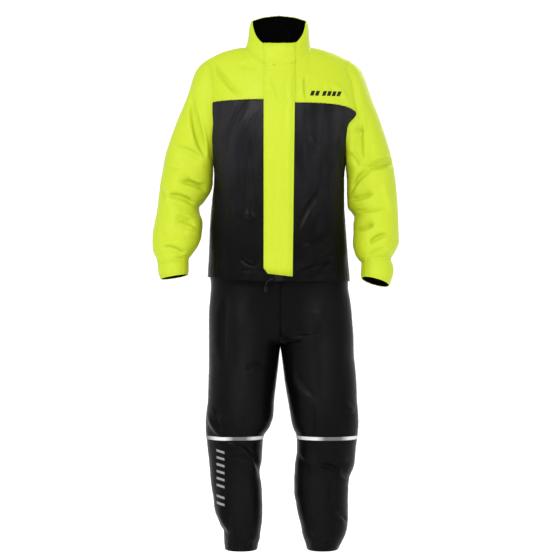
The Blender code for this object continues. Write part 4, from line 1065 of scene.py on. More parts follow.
class SuitColours(PropertyGroup):
    """The suit's colours."""

    hi_vis: colour_property("High visibility", "The fluorescent yellow cloth", "#adbd1c")
    black: colour_property("Black", "The black cloth", "#060607")
    # Painted sheen: a paler black, painted up the chest and down the thighs where the light falls
    # on the cloth
    painted_sheen_black: colour_property("Chest black", "The black cloth where it is rubbed", "#232326")
    lining: colour_property("Lining", "The black inside of collar and cuffs", "#030303")
    tape: colour_property("Reflective tape", "The reflective bands and marks", "#5c5c5e")
    transfer: colour_property("Transfer", "The pressed dashes up the shin", "#7e7e81")
    # A painted glint: the nearly white colour of the bands' patches where their beads send the
    # light back
    painted_glint_tape: colour_property("Bright tape", "The bands where their beads shine", "#cdcdcd")
    ink: colour_property("Ink", "The printed dashes on the chest", "#0a0b05")
    plastic: colour_property("Plastic", "Eyelet and toggle", "#050506")
    studio: colour_property("Studio", "The floor and backdrop", "#f6f6f5")


# Materials


def fill(tree, socket, value):
    """Links a socket to another, or sets it to a plain value."""
    if isinstance(value, bpy.types.NodeSocket):
        tree.links.new(value, socket)
    else:
        socket.default_value = value


def add(tree, kind, settings=None, **values):
    """Adds a node of a kind with its settings, and fills the inputs named."""
    node = tree.nodes.new(f"ShaderNode{kind}")
    for name, value in (settings or {}).items():
        setattr(node, name, value)
    for name, value in values.items():
        fill(tree, node.inputs[name.replace("_", " ")], value)
    return node


def place_by(tree, coordinates):
    """Each place in one kind of coordinates: Object or UV."""
    return add(tree, "TexCoord").outputs[coordinates]


def maths(tree, operation, *values):
    """The result of a math node for numbers or sockets."""
    node = add(tree, "Math", {"operation": operation})
    for socket, value in zip(node.inputs, values):
        fill(tree, socket, value)
    return node.outputs[0]


def noise(tree, place, scale, detail, roughness=0.5):
    """Soft noise between 0 and 1, with a number of finer layers."""
    values = {"Vector": place, "Scale": scale, "Detail": detail, "Roughness": roughness}
    return add(tree, "TexNoise", **values).outputs["Fac"]


def waves(tree, place, direction, scale):
    """Even ridges across a direction: sine bands, 0.314 wide at scale 1."""
    settings = {"wave_type": "BANDS", "wave_profile": "SIN", "bands_direction": direction}
    return add(tree, "TexWave", settings, Vector=place, Scale=scale).outputs["Fac"]


def mapped(tree, value, start, end, low=0.0, high=1.0, kind="LINEAR"):
    """A value carried from the span start to end over to the span low to high."""
    spans = {"From_Min": start, "From_Max": end, "To_Min": low, "To_Max": high}
    node = add(tree, "MapRange", {"interpolation_type": kind}, Value=value, **spans)
    return node.outputs["Result"]


def blend(tree, share, first, second):
    """The mix of two colours by a share of the second."""
    node = add(tree, "Mix", {"data_type": "RGBA"}, Factor=share, A=first, B=second)
    return node.outputs["Result"]


def ramp(tree, value, stops):
    """The colour at a value, straight between stops of a value and its colour."""
    low, high = stops[0][0], stops[-1][0]
    node = add(tree, "ValToRGB", Fac=mapped(tree, value, low, high))
    elements = node.color_ramp.elements
    elements[0].color, elements[1].color = stops[0][1], stops[-1][1]
    for at, colour in stops[1:-1]:
        elements.new((at - low) / (high - low)).color = colour
    return node.outputs["Color"]


def new_material(name, **values):
    """A material with one Principled shader, whose inputs are named by the values.

    Returns the material, its tree and that shader."""
    made = bpy.data.materials.new(name)
    made.use_nodes = True
    tree = made.node_tree
    shader = tree.nodes["Principled BSDF"]
    for socket, value in values.items():
        fill(tree, shader.inputs[socket.replace("_", " ")], value)
    return made, tree, shader


def around(tree, shader, value, roughness, spread):
    """Lets the roughness wander on both sides of its mean by a texture's value."""
    level = mapped(tree, value, 0.0, 1.0, roughness - spread, roughness + spread)
    fill(tree, shader.inputs["Roughness"], level)


BAND_WIDTH = 0.314  # of a wave texture's bands at scale 1
TONE_SCALE, GLOSS_SCALE, CRINKLE_SCALE = 7.0, 38.0, 16.0  # waves a metre in a coated cloth
GLOSS_SPREAD, GRAIN_SPREAD = 0.06, 0.08  # how far the roughness wanders
GRIT_SCALE = 1600.0
# Real threads lie 0.25 mm apart, too close to show, so they are drawn 1.1 mm apart
THREAD_PITCH = 1.1 * MM
THREAD_HEIGHT, THREAD_STRENGTH = 0.05 * MM, 0.35
WALE_PITCH = 1.5 * MM  # the ribs of a knitted lining, 0.7 mm apart on a real one
BEAD_PITCH = 0.8 * MM  # glass beads, 0.06 mm on real tape
STRANDS = 5  # that go round a cord each way


def weave_height(tree):
    """The height of a plain weave: the higher of two sets of round threads, by UV."""
    place = place_by(tree, "UV")
    sets = [waves(tree, place, direction, BAND_WIDTH / THREAD_PITCH) for direction in "XY"]
    return maths(tree, "MAXIMUM", *sets)


def coated_cloth(name, colour, shade, roughness, specular, crinkle):
    """Coated taffeta: tight plain weave under a thin film, pressed and packed flat, so
    that it keeps a faint crinkle and its tone wanders slightly.

    Returns the material, its tree, its shader and the socket of its colour."""
    made, tree, shader = new_material(name, Specular_IOR_Level=specular)
    place = place_by(tree, "Object")
    tone = blend(tree, noise(tree, place, TONE_SCALE, 3.0), (*shade, 1), (*colour, 1))
    fill(tree, shader.inputs["Base Color"], tone)
    around(tree, shader, noise(tree, place, GLOSS_SCALE, 4.0), roughness, GLOSS_SPREAD)
    folds = noise(tree, place, CRINKLE_SCALE, 3.0, 0.45)
    soft = add(tree, "Bump", Height=folds, Distance=crinkle)
    threads = {"Distance": THREAD_HEIGHT, "Strength": THREAD_STRENGTH}
    weave = add(tree, "Bump", Height=weave_height(tree), Normal=soft.outputs[0], **threads)
    fill(tree, shader.inputs["Normal"], weave.outputs[0])
    return made, tree, shader, tone


HI_VIS_SHADE = (0.93, 0.95, 0.8)  # its duller patches, as a share of its colour
# A painted glow: a faint emission in the cloth's own colour, the same under any light, for its
# fluorescence
HI_VIS_GLOW = 0.04


def hi_vis_taffeta(colours):
    """Fluorescent polyurethane-coated polyester taffeta, woven and then coated: a faint glow in its
    own colour is painted on, the same whatever light falls on it, for the yellow light that it
    gives back beyond what falls on it, and its film softens every highlight."""
    name, colour = "fluorescent coated polyester", np.array(colours.hi_vis)
    made, _, shader, _ = coated_cloth(name, colour, colour * HI_VIS_SHADE, 0.58, 0.3, 1.3 * MM)
    # The painted glow of the fluorescent cloth
    shader.inputs["Emission Color"].default_value = (*colour, 1)
    shader.inputs["Emission Strength"].default_value = HI_VIS_GLOW
    return made


BLACK_SHADE = 0.7
PAINTED_SHEEN_Z = (-0.60, -0.17)  # where the painted sheen on the jacket's black begins, and where it is strongest, paler towards the top
THIGH_X, THIGH_REACH = 0.112, 0.062  # the middle of the painted highlight down a leg's front, and its half-width
# How strong the painted highlight down a leg's front is at a height, as a share of the chest's
LEG_PAINTED_SHEEN = ((-1.45, 0.10), (-1.28, 0.16), (-1.12, 0.05), (-0.98, 0.30), (-0.75, 0.36), (-0.68, 0))
STREAK_SQUEEZE, STREAK_SCALE = 0.22, 19.0
STREAKS = (0.36, 0.6, 0.35)  # the noise where they are weakest and full, and their weakest


def black_taffeta(colours):
    """Black polyurethane-coated polyester taffeta: a dull sheen on the ridges, and almost no light
    between. Up the chest and down the thighs a paler grey is painted on in long streaks: a painted
    sheen where the light falls on the cloth."""
    name, black = "black coated polyester", np.array(colours.black)
    made, tree, shader, tone = coated_cloth(name, black, black * BLACK_SHADE, 0.38, 0.055, 1.8 * MM)
    place = place_by(tree, "Object")
    axes = add(tree, "SeparateXYZ", Vector=place).outputs
    # Painted sheen: paler up the chest towards the top, and in a band down the front of each thigh,
    # broken into streaks
    chest = mapped(tree, axes["Z"], *PAINTED_SHEEN_Z, kind="SMOOTHSTEP")
    beside = maths(tree, "SUBTRACT", maths(tree, "ABSOLUTE", axes["X"]), THIGH_X)
    beside = maths(tree, "ABSOLUTE", beside)
    thigh = mapped(tree, beside, THIGH_REACH, 0.0, kind="SMOOTHSTEP")
    leg_sheen = ramp(tree, axes["Z"], [(z, (share, share, share, 1)) for z, share in LEG_PAINTED_SHEEN])
    most = maths(tree, "MAXIMUM", chest, maths(tree, "MULTIPLY", thigh, leg_sheen))
    long_way = add(tree, "Mapping", Vector=place, Scale=(1, 1, STREAK_SQUEEZE)).outputs[0]
    streaks = noise(tree, long_way, STREAK_SCALE, 2.0)
    streaks = mapped(tree, streaks, *STREAKS, kind="SMOOTHSTEP")
    both = maths(tree, "MULTIPLY", most, streaks)
    # The painted sheen mixed into the black's colour
    sheen_tone = blend(tree, both, tone, (*colours.painted_sheen_black, 1))
    fill(tree, shader.inputs["Base Color"], sheen_tone)
    return made


def grained(name, colour, roughness, specular, height, depth):
    """A finish of one colour whose relief and gloss follow one height, made by a function
    of the tree."""
    colour = (*colour, 1)
    made, tree, shader = new_material(name, Base_Color=colour, Specular_IOR_Level=specular)
    relief = height(tree)
    around(tree, shader, relief, roughness, GRAIN_SPREAD)
    bump = add(tree, "Bump", Height=relief, Distance=depth, Strength=1.0)
    fill(tree, shader.inputs["Normal"], bump.outputs[0])
    return made


def wale_height(tree):
    """Ribs along a knitted lining by UV."""
    return waves(tree, place_by(tree, "UV"), "X", BAND_WIDTH / WALE_PITCH)


def tricot_lining(colours):
    """Warp-knitted polyester tricot, brushed: it swallows light, so it looks pure black."""
    return grained("black tricot lining", colours.lining, 0.9, 0.03, wale_height, 0.2 * MM)


def zip_tape(colours):
    """Polyester zip tape, woven in a twill: matt and dense."""
    return grained("woven zip tape", colours.black, 0.75, 0.2, weave_height, 0.1 * MM)


def braid_height(tree):
    """Two sets of strands that cross at a slant round a cord, by UV in turns."""
    place = place_by(tree, "UV")
    mirrored = add(tree, "Mapping", Vector=place, Scale=(-1, 1, 1)).outputs[0]
    scale = 2 * BAND_WIDTH * STRANDS  # a slanted band is twice as wide
    sets = [waves(tree, vector, "DIAGONAL", scale) for vector in (place, mirrored)]
    return maths(tree, "MAXIMUM", *sets)


def braided_cord(colours):
    """Braided polyester cord: dark between its strands, a soft shine along them."""
    return grained("braided polyester cord", colours.black, 0.6, 0.3, braid_height, 0.25 * MM)


def grit_height(tree):
    """The fine grain of a spark-eroded mould or of a squeegeed ink, 0.6 mm coarse."""
    return noise(tree, place_by(tree, "Object"), GRIT_SCALE, 1.0)


def moulded_acetal(colours):
    """Injection-moulded acetal: smooth and waxy, with a small bright highlight."""
    return grained("moulded acetal", colours.plastic, 0.3, 0.15, grit_height, 0.03 * MM)


def printed_ink(colours):
    """Screen-printed plastisol ink: flat and matt, with the cloth's grain under it."""
    return grained("screen printed ink", colours.ink, 0.6, 0.2, grit_height, 0.05 * MM)


def bead_height(tree):
    """Glass beads in a resin by Object coordinates."""
    place = place_by(tree, "Object")
    return add(tree, "TexVoronoi", Vector=place, Scale=1 / BEAD_PITCH).outputs["Distance"]


# Painted glints on the bands, where their beads would send the light back: spans of x, how soft
# their ends are, and all of x that the bands take up, in millimetres
PAINTED_GLINTS = ((-194, -142), (-84, -44), (58, 119), (189, 230))
SPOT_FADE = 12
BAND_SPAN = (-260, 260)


def reflective_tape(colours):
    """Glass-bead retroreflective transfer tape: an even grey, with nearly white glints painted over
    set spans of x where its beads would send the light back."""
    made = grained("glass bead reflective tape", colours.tape, 0.42, 0.4, bead_height, 0.06 * MM)
    tree = made.node_tree
    dark, glint = (*colours.tape, 1), (*colours.painted_glint_tape, 1)
    stops = [(BAND_SPAN[0] * MM, dark)]
    for start, end in PAINTED_GLINTS:
        stops += [((start - SPOT_FADE) * MM, dark), ((start + SPOT_FADE) * MM, glint)]
        stops += [((end - SPOT_FADE) * MM, glint), ((end + SPOT_FADE) * MM, dark)]
    stops.append((BAND_SPAN[1] * MM, dark))
    # Painted glints: the grey turns nearly white over set spans of x
    axes = add(tree, "SeparateXYZ", Vector=place_by(tree, "Object")).outputs
    colour = tree.nodes["Principled BSDF"].inputs["Base Color"]
    fill(tree, colour, ramp(tree, axes["X"], stops))
    return made


def printed_tape(colours):
    """Glass-bead reflective transfer print, cut out and pressed on hot: an even grey."""
    name = "glass bead transfer print"
    return grained(name, colours.transfer, 0.45, 0.4, bead_height, 0.06 * MM)


MAKERS = {
    "hi_vis_cloth": hi_vis_taffeta,
    "black_cloth": black_taffeta,
    "black_lining": tricot_lining,
    "zip_tape": zip_tape,
    "reflective_tape": reflective_tape,
    "cord": braided_cord,
    "toggle_plastic": moulded_acetal,
    "ink": printed_ink,
    "transfer": printed_tape,
}
made_materials = {}


def finish_of(context, slot):
    """The material for one of the record's slots, made once."""
    if slot not in made_materials:
        made_materials[slot] = MAKERS[slot](context.scene.suit_colours)
    return made_materials[slot]


# Pieces


def join_suit(piece, slot, *nodes):
    """Makes a piece part of the suit's one body, in place of the frame's nodes."""
    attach(piece, "root")
    if nodes:
        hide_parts(*nodes)
    return piece


def wall_of(context, name, node, slot, outer, sign, closed, thick):
    """A wall of cloth inside a finished face, in place of a node."""
    inner = outer - thick * outward(outer, sign, closed)
    cloth = cloth_object(name, outer, inner, sign, closed, finish_of(context, slot))
    return join_suit(cloth, slot, node)


def sew_panel(context, node, slot, grid, sign, relief, seams, hems=None, closed=False, thick=WALL):
    """One cut piece in its finished form, with its stitching, in place of its node."""
    sizes = context.scene.suit_sizes
    hems = hems or {}
    relief = relief * sizes.crease_depth
    outer = dressed(grid, sign, closed, relief, seams, hems, GROOVE[slot], thick)
    cloth = wall_of(context, f"{node}_cloth", node, slot, outer, sign, closed, thick)
    rows = [(edge, STITCH_AT) for edge in seams] + list(hems.items())
    lines = [line_on(outer, sign, closed, edge, distance) for edge, distance in rows]
    stitching = stitch_object(f"{node}_stitching", lines, sizes, finish_of(context, slot))
    join_suit(stitching, slot)
    return outer


def sew_lining(context, node, slot, outer, sign, closed, thick, suffix="cloth"):
    """A plain layer under or on another cloth: a wall inside the given face."""
    cloth = wall_of(context, f"{node}_{suffix}", node, slot, outer, sign, closed, thick)


MARK_ROWS, MARK_COLUMNS = 5, 7
MARK_PROUD, MARK_WALL = 0.25 * MM, 0.4 * MM


def print_marks(context, name, slot, finish, outer, sign, dashes):
    """Plain slanted dashes on a cloth, each between four corners seen from the front."""
    out = outward(outer, sign, False).reshape(-1, 3)
    points = outer.reshape(-1, 3)
    for k, corners in enumerate(dashes):
        face, normal = laid_on(points, out, np.array(corners, float) * MM)
        face = face + MARK_PROUD * normal
        inner = face - MARK_WALL * normal
        mark = cloth_object(f"{name}_{k}", face, inner, 1, False, finish_of(context, finish))
        join_suit(mark, slot)


def laid_on(outer, out, corners):
    """A grid between four corners, laid on a cloth: each point lies on the tangent plane of
    the cloth's nearest point. Returns the grid and its outward directions."""
    share = np.linspace(0, 1, MARK_COLUMNS)[None, :, None]
    rise = np.linspace(0, 1, MARK_ROWS)[:, None, None]
    low_start, low_end, high_end, high_start = corners
    low = low_start + (low_end - low_start) * share
    high = high_start + (high_end - high_start) * share
    places = low + (high - low) * rise
    gap = places[:, :, None, :] - outer[None, None, :, ::2]
    nearest = (gap**2).sum(-1).argmin(-1)
    point, normal = outer[nearest], out[nearest]
    step = places - point[..., ::2]
    y = point[..., 1] - (step * normal[..., ::2]).sum(-1) / normal[..., 1]
    return np.stack([places[..., 0], y, places[..., 1]], -1), normal


FLAP_SHADOW = 14 * MM  # beside the storm flap, where the creases under it fade


def body_relief(grid, face):
    """The creases of the jacket's body, which fade under the storm flap."""
    x, z = grid[..., 0], grid[..., 2]
    relief = crease_shift("body", face, x, z)
    if face == FRONT:
        beside = np.maximum(FLAP_RIGHT_X - x, x - FLAP_BOTTOM_X)
        relief = relief * ease(beside / FLAP_SHADOW)
    return relief


# Plain dashes where the photographed suit has printing: each one's start, across the left
# yoke and up the right shin, in millimetres
CHEST_MARKS, CHEST_MARK_WIDTH = (88, 102, 122, 136, 150, 164), 10
CHEST_MARK_Z, CHEST_MARK_SLANT = (-148, -134), 5
SHIN_MARKS, SHIN_MARK_HEIGHT = (-1322, -1302, -1270, -1250, -1230, -1210, -1190, -1170), 13
SHIN_MARK_X, SHIN_MARK_SLANT = (-179, -156), 6


def chest_dashes():
    """The corners of the dashes on the chest: each stands up and leans to the left."""
    low, high = CHEST_MARK_Z
    for start in CHEST_MARKS:
        end, lean = start + CHEST_MARK_WIDTH, CHEST_MARK_SLANT
        yield (start, low), (end, low), (end + lean, high), (start + lean, high)


def shin_dashes():
    """The corners of the dashes on the shin: each lies across it, lower at its inside."""
    low, high = SHIN_MARK_X
    for start in SHIN_MARKS:
        end, lean = start + SHIN_MARK_HEIGHT, SHIN_MARK_SLANT
        yield (low, start + lean), (high, start), (high, end - lean), (low, end)


# How long the cloth is across a quarter of the jacket, of the collar and of a leg, up the
# collar, round half an armhole below and above the yoke seam, along a sleeve and a cuff
BODY_QUARTER, COLLAR_QUARTER, LEG_QUARTER = 290 * MM, 150 * MM, 330 * MM
COLLAR_HEIGHT, ARMHOLE_HALF = 110 * MM, 185 * MM
SLEEVE_LENGTH, CUFF_LENGTH = 640 * MM, 50 * MM
# The jacket's cuts: a name, a finish, the levels they run between and their hems
BODY_CUTS = (
    ("", "black_cloth", 0, 2, {"first_row": HEM_STITCH_AT["jacket"]}),
    ("yoke_", "hi_vis_cloth", 2, 3, {}),
)


class RAINSUIT_OT_fronts(Operator):
    """Cuts the two black lower fronts and their yellow yokes"""

    bl_idname = "rainsuit.fronts"
    bl_label = "Fronts and yokes"

    def execute(self, context):
        step = context.scene.suit_sizes.grid_step
        across = spaced(BODY_QUARTER, step)
        for side in (RIGHT, LEFT):
            for cut, slot, first, last, hems in BODY_CUTS:
                levels = body_levels(first, last, step, hems.values())
                grid = body_quarter(side, FRONT, across, levels)
                seams = ["last_row", "last_column"] + (["first_row"] if first else [])
                node = f"{cut}front_{side_name(side)}"
                relief = body_relief(grid, FRONT)
                outer = sew_panel(context, node, slot, grid, side, relief, seams, hems)
        print_marks(context, "chest_dash", "black_cloth", "ink", outer, LEFT, chest_dashes())
        return {"FINISHED"}


class RAINSUIT_OT_backs(Operator):
    """Cuts the black lower back and the yellow back yoke"""

    bl_idname = "rainsuit.backs"
    bl_label = "Back and yoke"

    def execute(self, context):
        step = context.scene.suit_sizes.grid_step
        share = spaced(BODY_QUARTER, step)
        across = np.concatenate([[0], share[share >= EDGE_STEPS[-1] / BODY_QUARTER]])
        for cut, slot, first, last, hems in BODY_CUTS:
            levels = body_levels(first, last, step, hems.values())
            right = body_quarter(RIGHT, BACK, across, levels)[:, ::-1]
            left = body_quarter(LEFT, BACK, across, levels)
            grid = np.concatenate([right, left[:, 1:]], 1)
            seams = ["last_row", "first_column", "last_column"] + (["first_row"] if first else [])
            relief = body_relief(grid, BACK)
            sew_panel(context, f"{cut}back", slot, grid, -1, relief, seams, hems)
        return {"FINISHED"}


OUTLINE_FADE = 1.6  # how soon creases have their whole height, from the outline in


def fade_at_outline(facing):
    """How much of a crease is left where a cloth faces the front or the back by a share."""
    return np.clip(OUTLINE_FADE * facing, 0, 1)


def sleeve_relief(side, rings, facing):
    """The creases of a sleeve's front and back, which fade at its outline."""
    relief = 0.0
    for face, part in ((FRONT, facing > 0), (BACK, facing < 0)):
        shift = crease_shift(side, face, rings[..., 0], rings[..., 2])
        relief = relief + shift * part * fade_at_outline(abs(facing))
    return relief


class RAINSUIT_OT_sleeves(Operator):
    """Cuts the two yellow sleeves, their cuffs and the cuffs' black facings"""

    bl_idname = "rainsuit.sleeves"
    bl_label = "Sleeves and cuffs"

    def execute(self, context):
        step = context.scene.suit_sizes.grid_step
        spans = round(ARMHOLE_HALF / step)
        hems = {"last_row": HEM_STITCH_AT["cuff"]}
        for side in (RIGHT, LEFT):
            name, slot, out = side_name(side), "hi_vis_cloth", -side
            stations = CUFF_ROW * spaced(SLEEVE_LENGTH, step)
            rings, facing = sleeve_rings(side, stations, spans, spans)
            relief, seams = sleeve_relief(side, rings, facing), ["first_row", "last_row"]
            sew_panel(context, f"sleeve_{name}", slot, rings, out, relief, seams, closed=True)

            stations = CUFF_ROW + (SLEEVE_END - CUFF_ROW) * spaced(CUFF_LENGTH, step)
            rings, facing = sleeve_rings(side, stations, spans // 2, spans // 2)
            node, relief, seams = f"cuff_{name}", 0 * facing, ["first_row"]
            far = sew_panel(context, node, slot, rings, out, relief, seams, hems, True, DOUBLE)
            near = far - (DOUBLE + SEAM_GAP) * outward(far, out, True)
            sew_lining(context, f"cuff_facing_{name}", "black_lining", near, out, True, LINING)
        return {"FINISHED"}


def once_round(quarter, *args):
    """One grid from the left of the front round the back to its right, of four quarters
    that a function makes, each from its middle (0) to its side (1)."""
    left = [quarter(LEFT, FRONT, *args), quarter(LEFT, BACK, *args)[:, -2::-1]]
    right = [quarter(RIGHT, BACK, *args)[:, 1:], quarter(RIGHT, FRONT, *args)[:, -2::-1]]
    return np.concatenate(left + right, 1)


def collar_grid(step):
    """The collar from the left of the zip to its right, and its columns in a quarter."""
    columns = round(COLLAR_QUARTER / step)
    across, heights = np.linspace(0, 1, columns + 1), spaced(COLLAR_HEIGHT, step)
    return once_round(collar_quarter, across, heights), columns


COLLAR_LINING_ROW = 3  # the collar's row where its lining begins, above the neck seam


class RAINSUIT_OT_collar(Operator):
    """Cuts the stand collar and its black lining"""

    bl_idname = "rainsuit.collar"
    bl_label = "Collar"

    def execute(self, context):
        grid, _ = collar_grid(context.scene.suit_sizes.grid_step)
        relief, seams, hems = 0 * grid[..., 0], ["first_row"], {"last_row": FOLD_STITCH_AT}
        node, slot = "collar", "hi_vis_cloth"
        outer = sew_panel(context, node, slot, grid, 1, relief, seams, hems, False, DOUBLE)
        near = outer - (DOUBLE + SEAM_GAP) * outward(outer, 1, False)
        near = near[COLLAR_LINING_ROW:]
        sew_lining(context, "collar_lining", "black_lining", near, 1, False, LINING)
        return {"FINISHED"}


def front_rows(step):
    """Rows of points across the closed fronts, from the collar's top edge to the hem, each
    from the wearer's right to the left."""
    collar, columns = collar_grid(step)
    rows = [np.concatenate([row[-columns - 1 :], row[: columns + 1]]) for row in collar[::-1]]
    across = spaced(BODY_QUARTER, step)
    for first, last in ((2, 3), (0, 2)):
        levels = body_levels(first, last, step)
        right = body_quarter(RIGHT, FRONT, across, levels)[-2::-1, ::-1]
        left = body_quarter(LEFT, FRONT, across, levels)[-2::-1]
        rows += list(np.concatenate([right, left], 1))
    return rows


STRIP_END = 4 * MM  # how far above its lower end a strip's last row of the fronts lies


def front_strip(rows, edges, bottom, share):
    """A strip down the fronts. edges gives where it starts and ends across a row, by the
    row's height, share its columns between them, and bottom its lower end at each x."""
    strip = []
    for row in rows:
        low, high = edges(row[:, 2].mean())
        x = low + (high - low) * share
        line = [np.interp(x, row[:, 0], row[:, k]) for k in (1, 2)]
        strip.append(np.stack([x, *line], -1))
    strip = np.array(strip)
    x = strip[-1, :, 0]
    end = bottom(x)
    depth = [np.interp(end[c], strip[::-1, c, 2], strip[::-1, c, 1]) for c in range(len(x))]
    kept = strip[(strip[..., 2] > end.max() + STRIP_END).all(axis=1)]
    return np.concatenate([kept, np.stack([x, depth, end], -1)[None]])


def flap_edges(height):
    """The storm flap's edges. It narrows towards the hem."""
    return FLAP_RIGHT_X, FLAP_TOP_X + (FLAP_BOTTOM_X - FLAP_TOP_X) * min(height / FLAP_BOTTOM_Z, 1)


def flap_bottom(x):
    """The flap's lower edge: a slant, cut off at the corner where the flap is sewn on."""
    corner = np.clip(1 - (x - FLAP_RIGHT_X) / FLAP_CORNER[0], 0, 1)
    return FLAP_BOTTOM_Z + corner * FLAP_CORNER[1] - x * FLAP_SLANT


def zip_edges(height):
    return SEAM_GAP / 2 - ZIP_HALF, ZIP_HALF - SEAM_GAP / 2


def zip_bottom(x):
    return np.full(len(x), HEM_MIDDLE_Z + SEAM_GAP)


FLAP_SINK = 0.7 * MM  # how far the flap's creases may sink towards the fronts
FLAP_LIFT, FLAP_STAND = 2.1 * MM, 0.9 * MM  # over the fronts, and how much more at its free edge
FLAP_FREE = 60 * MM  # how far from where it is sewn on the flap stands free
FLAP_STAND_Z, FLAP_STAND_FALL = -120 * MM, 0.1  # it stands free below this, and fully so then
ZIP_COLUMNS = 9


class RAINSUIT_OT_closing(Operator):
    """Makes the closed front zip and the storm flap that covers it"""

    bl_idname = "rainsuit.closing"
    bl_label = "Zip and storm flap"

    def execute(self, context):
        step = context.scene.suit_sizes.grid_step
        rows = front_rows(step)
        strip = front_strip(rows, zip_edges, zip_bottom, np.linspace(0, 1, ZIP_COLUMNS))
        sew_lining(context, "front_zip", "zip_tape", strip, -1, False, WALL, "tape")
        strip = front_strip(rows, flap_edges, flap_bottom, spaced(FLAP_TOP_X - FLAP_RIGHT_X, step))
        x, z = strip[..., 0], strip[..., 2]
        free = ease((x - FLAP_RIGHT_X) / FLAP_FREE) * ease((FLAP_STAND_Z - z) / FLAP_STAND_FALL)
        lift = FLAP_LIFT + FLAP_STAND * free
        base = strip + lift[..., None] * outward(strip, -1, False)
        relief = np.maximum(crease_shift("flap", FRONT, x, z), -FLAP_SINK)
        edges = ("first_row", "last_row", "first_column", "last_column")
        hems = dict.fromkeys(edges, FOLD_STITCH_AT)
        node, slot = "storm_flap", "hi_vis_cloth"
        sew_panel(context, node, slot, base, -1, relief, [], hems, False, DOUBLE)
        return {"FINISHED"}


def waist_quarter(side, face, across, rows):
    return leg_quarter(side, face, across, rows)[0]


WAIST_COLUMNS = 50
# The waistband's elastic gathers it in even waves
GATHER, GATHER_STEP = 0.8 * MM, 13 * MM
TOUCH = 0.001 * MM  # two heights this near are the same row


class RAINSUIT_OT_trousers(Operator):
    """Cuts the trousers' four panels, the waistband and the two reflective bands"""

    bl_idname = "rainsuit.trousers"
    bl_label = "Trousers"

    def execute(self, context):
        step = context.scene.suit_sizes.grid_step
        marks = [z - TROUSER_HEM_Z for z in (BAND_TOP_Z, BAND_BOTTOM_Z)]
        levels = leg_levels(step, marks)
        across = spaced(LEG_QUARTER, step)
        z = levels[:, 0]
        band_rows = (z <= BAND_TOP_Z + TOUCH) & (z >= BAND_BOTTOM_Z - TOUCH)
        seams = ["first_row", "first_column", "last_column"]
        hems = {"last_row": HEM_STITCH_AT["trousers"]}
        for side in (RIGHT, LEFT):
            halves = []
            for face in (FRONT, BACK):
                grid, weight = leg_quarter(side, face, across, levels)
                relief = crease_shift("legs", face, grid[..., 0], grid[..., 2])
                relief = relief * fade_at_outline(weight)
                node, out = f"trouser_{face_name(face)}_{side_name(side)}", side * face
                outer = sew_panel(context, node, "black_cloth", grid, out, relief, seams, hems)
                halves.append(outer[band_rows])
                if (side, face) == (RIGHT, FRONT):
                    marks = (outer, out, shin_dashes())
                    print_marks(context, "shin_dash", "reflective_tape", "transfer", *marks)
            ring = np.concatenate([halves[0], halves[1][:, -2::-1]], 1)
            far = ring + (SEAM_GAP + BAND_WALL) * outward(ring, -side, True)
            node = f"knee_band_{side_name(side)}"
            sew_lining(context, node, "reflective_tape", far, -side, True, BAND_WALL, "tape")
        height = WAIST_TOP_Z - WAIST_SEAM_Z
        z = WAIST_SEAM_Z + height * spaced(height, step)
        across = np.linspace(0, 1, WAIST_COLUMNS)
        grid = once_round(waist_quarter, across, np.stack([z, 0 * z], -1))
        relief = GATHER * np.sin(run(grid, 1) * 2 * math.pi / GATHER_STEP)
        seams, hems = ["first_row"], {"last_row": FOLD_STITCH_AT}
        node, slot = "waistband", "black_cloth"
        sew_panel(context, node, slot, grid, 1, relief, seams, hems, True, DOUBLE)
        return {"FINISHED"}


# The cord's route from the eyelet, in millimetres: out, over and down
CORD_ROUTE = (
    (0, -2.4, 0),
    (-0.5, -5, -1),
    (-3, -7, -3.5),
    (-7, -7.2, -6),
    (-11, -6.4, -8.5),
    (-14.5, -5.6, -12),
    (-16.5, -5.2, -16),
    (-17, -5, -20),
    (-17, -5, -22),
)
CORD_POINTS, CORD_SIDES, TURNED_SIDES, STUDIO_SIDES = 28, 12, 32, 96


def along_route(knots, count):
    """Points at even distances on a smooth curve through the knots."""
    length = run(knots[None], 1)[0]
    at = np.linspace(0, length[-1], count)
    return np.stack([smooth(at, length, knots[:, k]) for k in range(3)], -1)


def tube_object(name, line, radius, sides, material):
    """A round tube along points: a circle turned across each point's own direction."""
    tangent = np.gradient(line, axis=0)
    tangent /= np.linalg.norm(tangent, axis=-1, keepdims=True)
    beside = np.cross(tangent, [0.0, 1.0, 0.0])
    beside /= np.linalg.norm(beside, axis=-1, keepdims=True)
    above = np.cross(beside, tangent)
    angle = np.linspace(0, 2 * math.pi, sides, endpoint=False)
    ring = beside[:, None] * np.cos(angle)[:, None] + above[:, None] * np.sin(angle)[:, None]
    points = (line[:, None] + radius * ring).reshape(-1, 3)
    r, c = np.meshgrid(np.arange(len(line) - 1), np.arange(sides), indexing="ij")
    after = (c + 1) % sides
    near, far = r * sides, (r + 1) * sides
    quads = np.stack([near + c, far + c, far + after, near + after], -1)
    first = np.arange(sides)[None]
    last = ((len(line) - 1) * sides + np.arange(sides))[None, ::-1]
    turns = np.stack([c, c, c + 1, c + 1], -1) / sides
    along = run(line[None], 1)[0] / (2 * math.pi * radius)
    along = np.stack([along[r], along[r + 1], along[r + 1], along[r]], -1)
    uv = np.concatenate([np.stack([turns, along], -1).reshape(-1, 2), np.zeros((2 * sides, 2))])
    return mesh_object(name, points, [quads.reshape(-1, 4), first, last], material, uv)


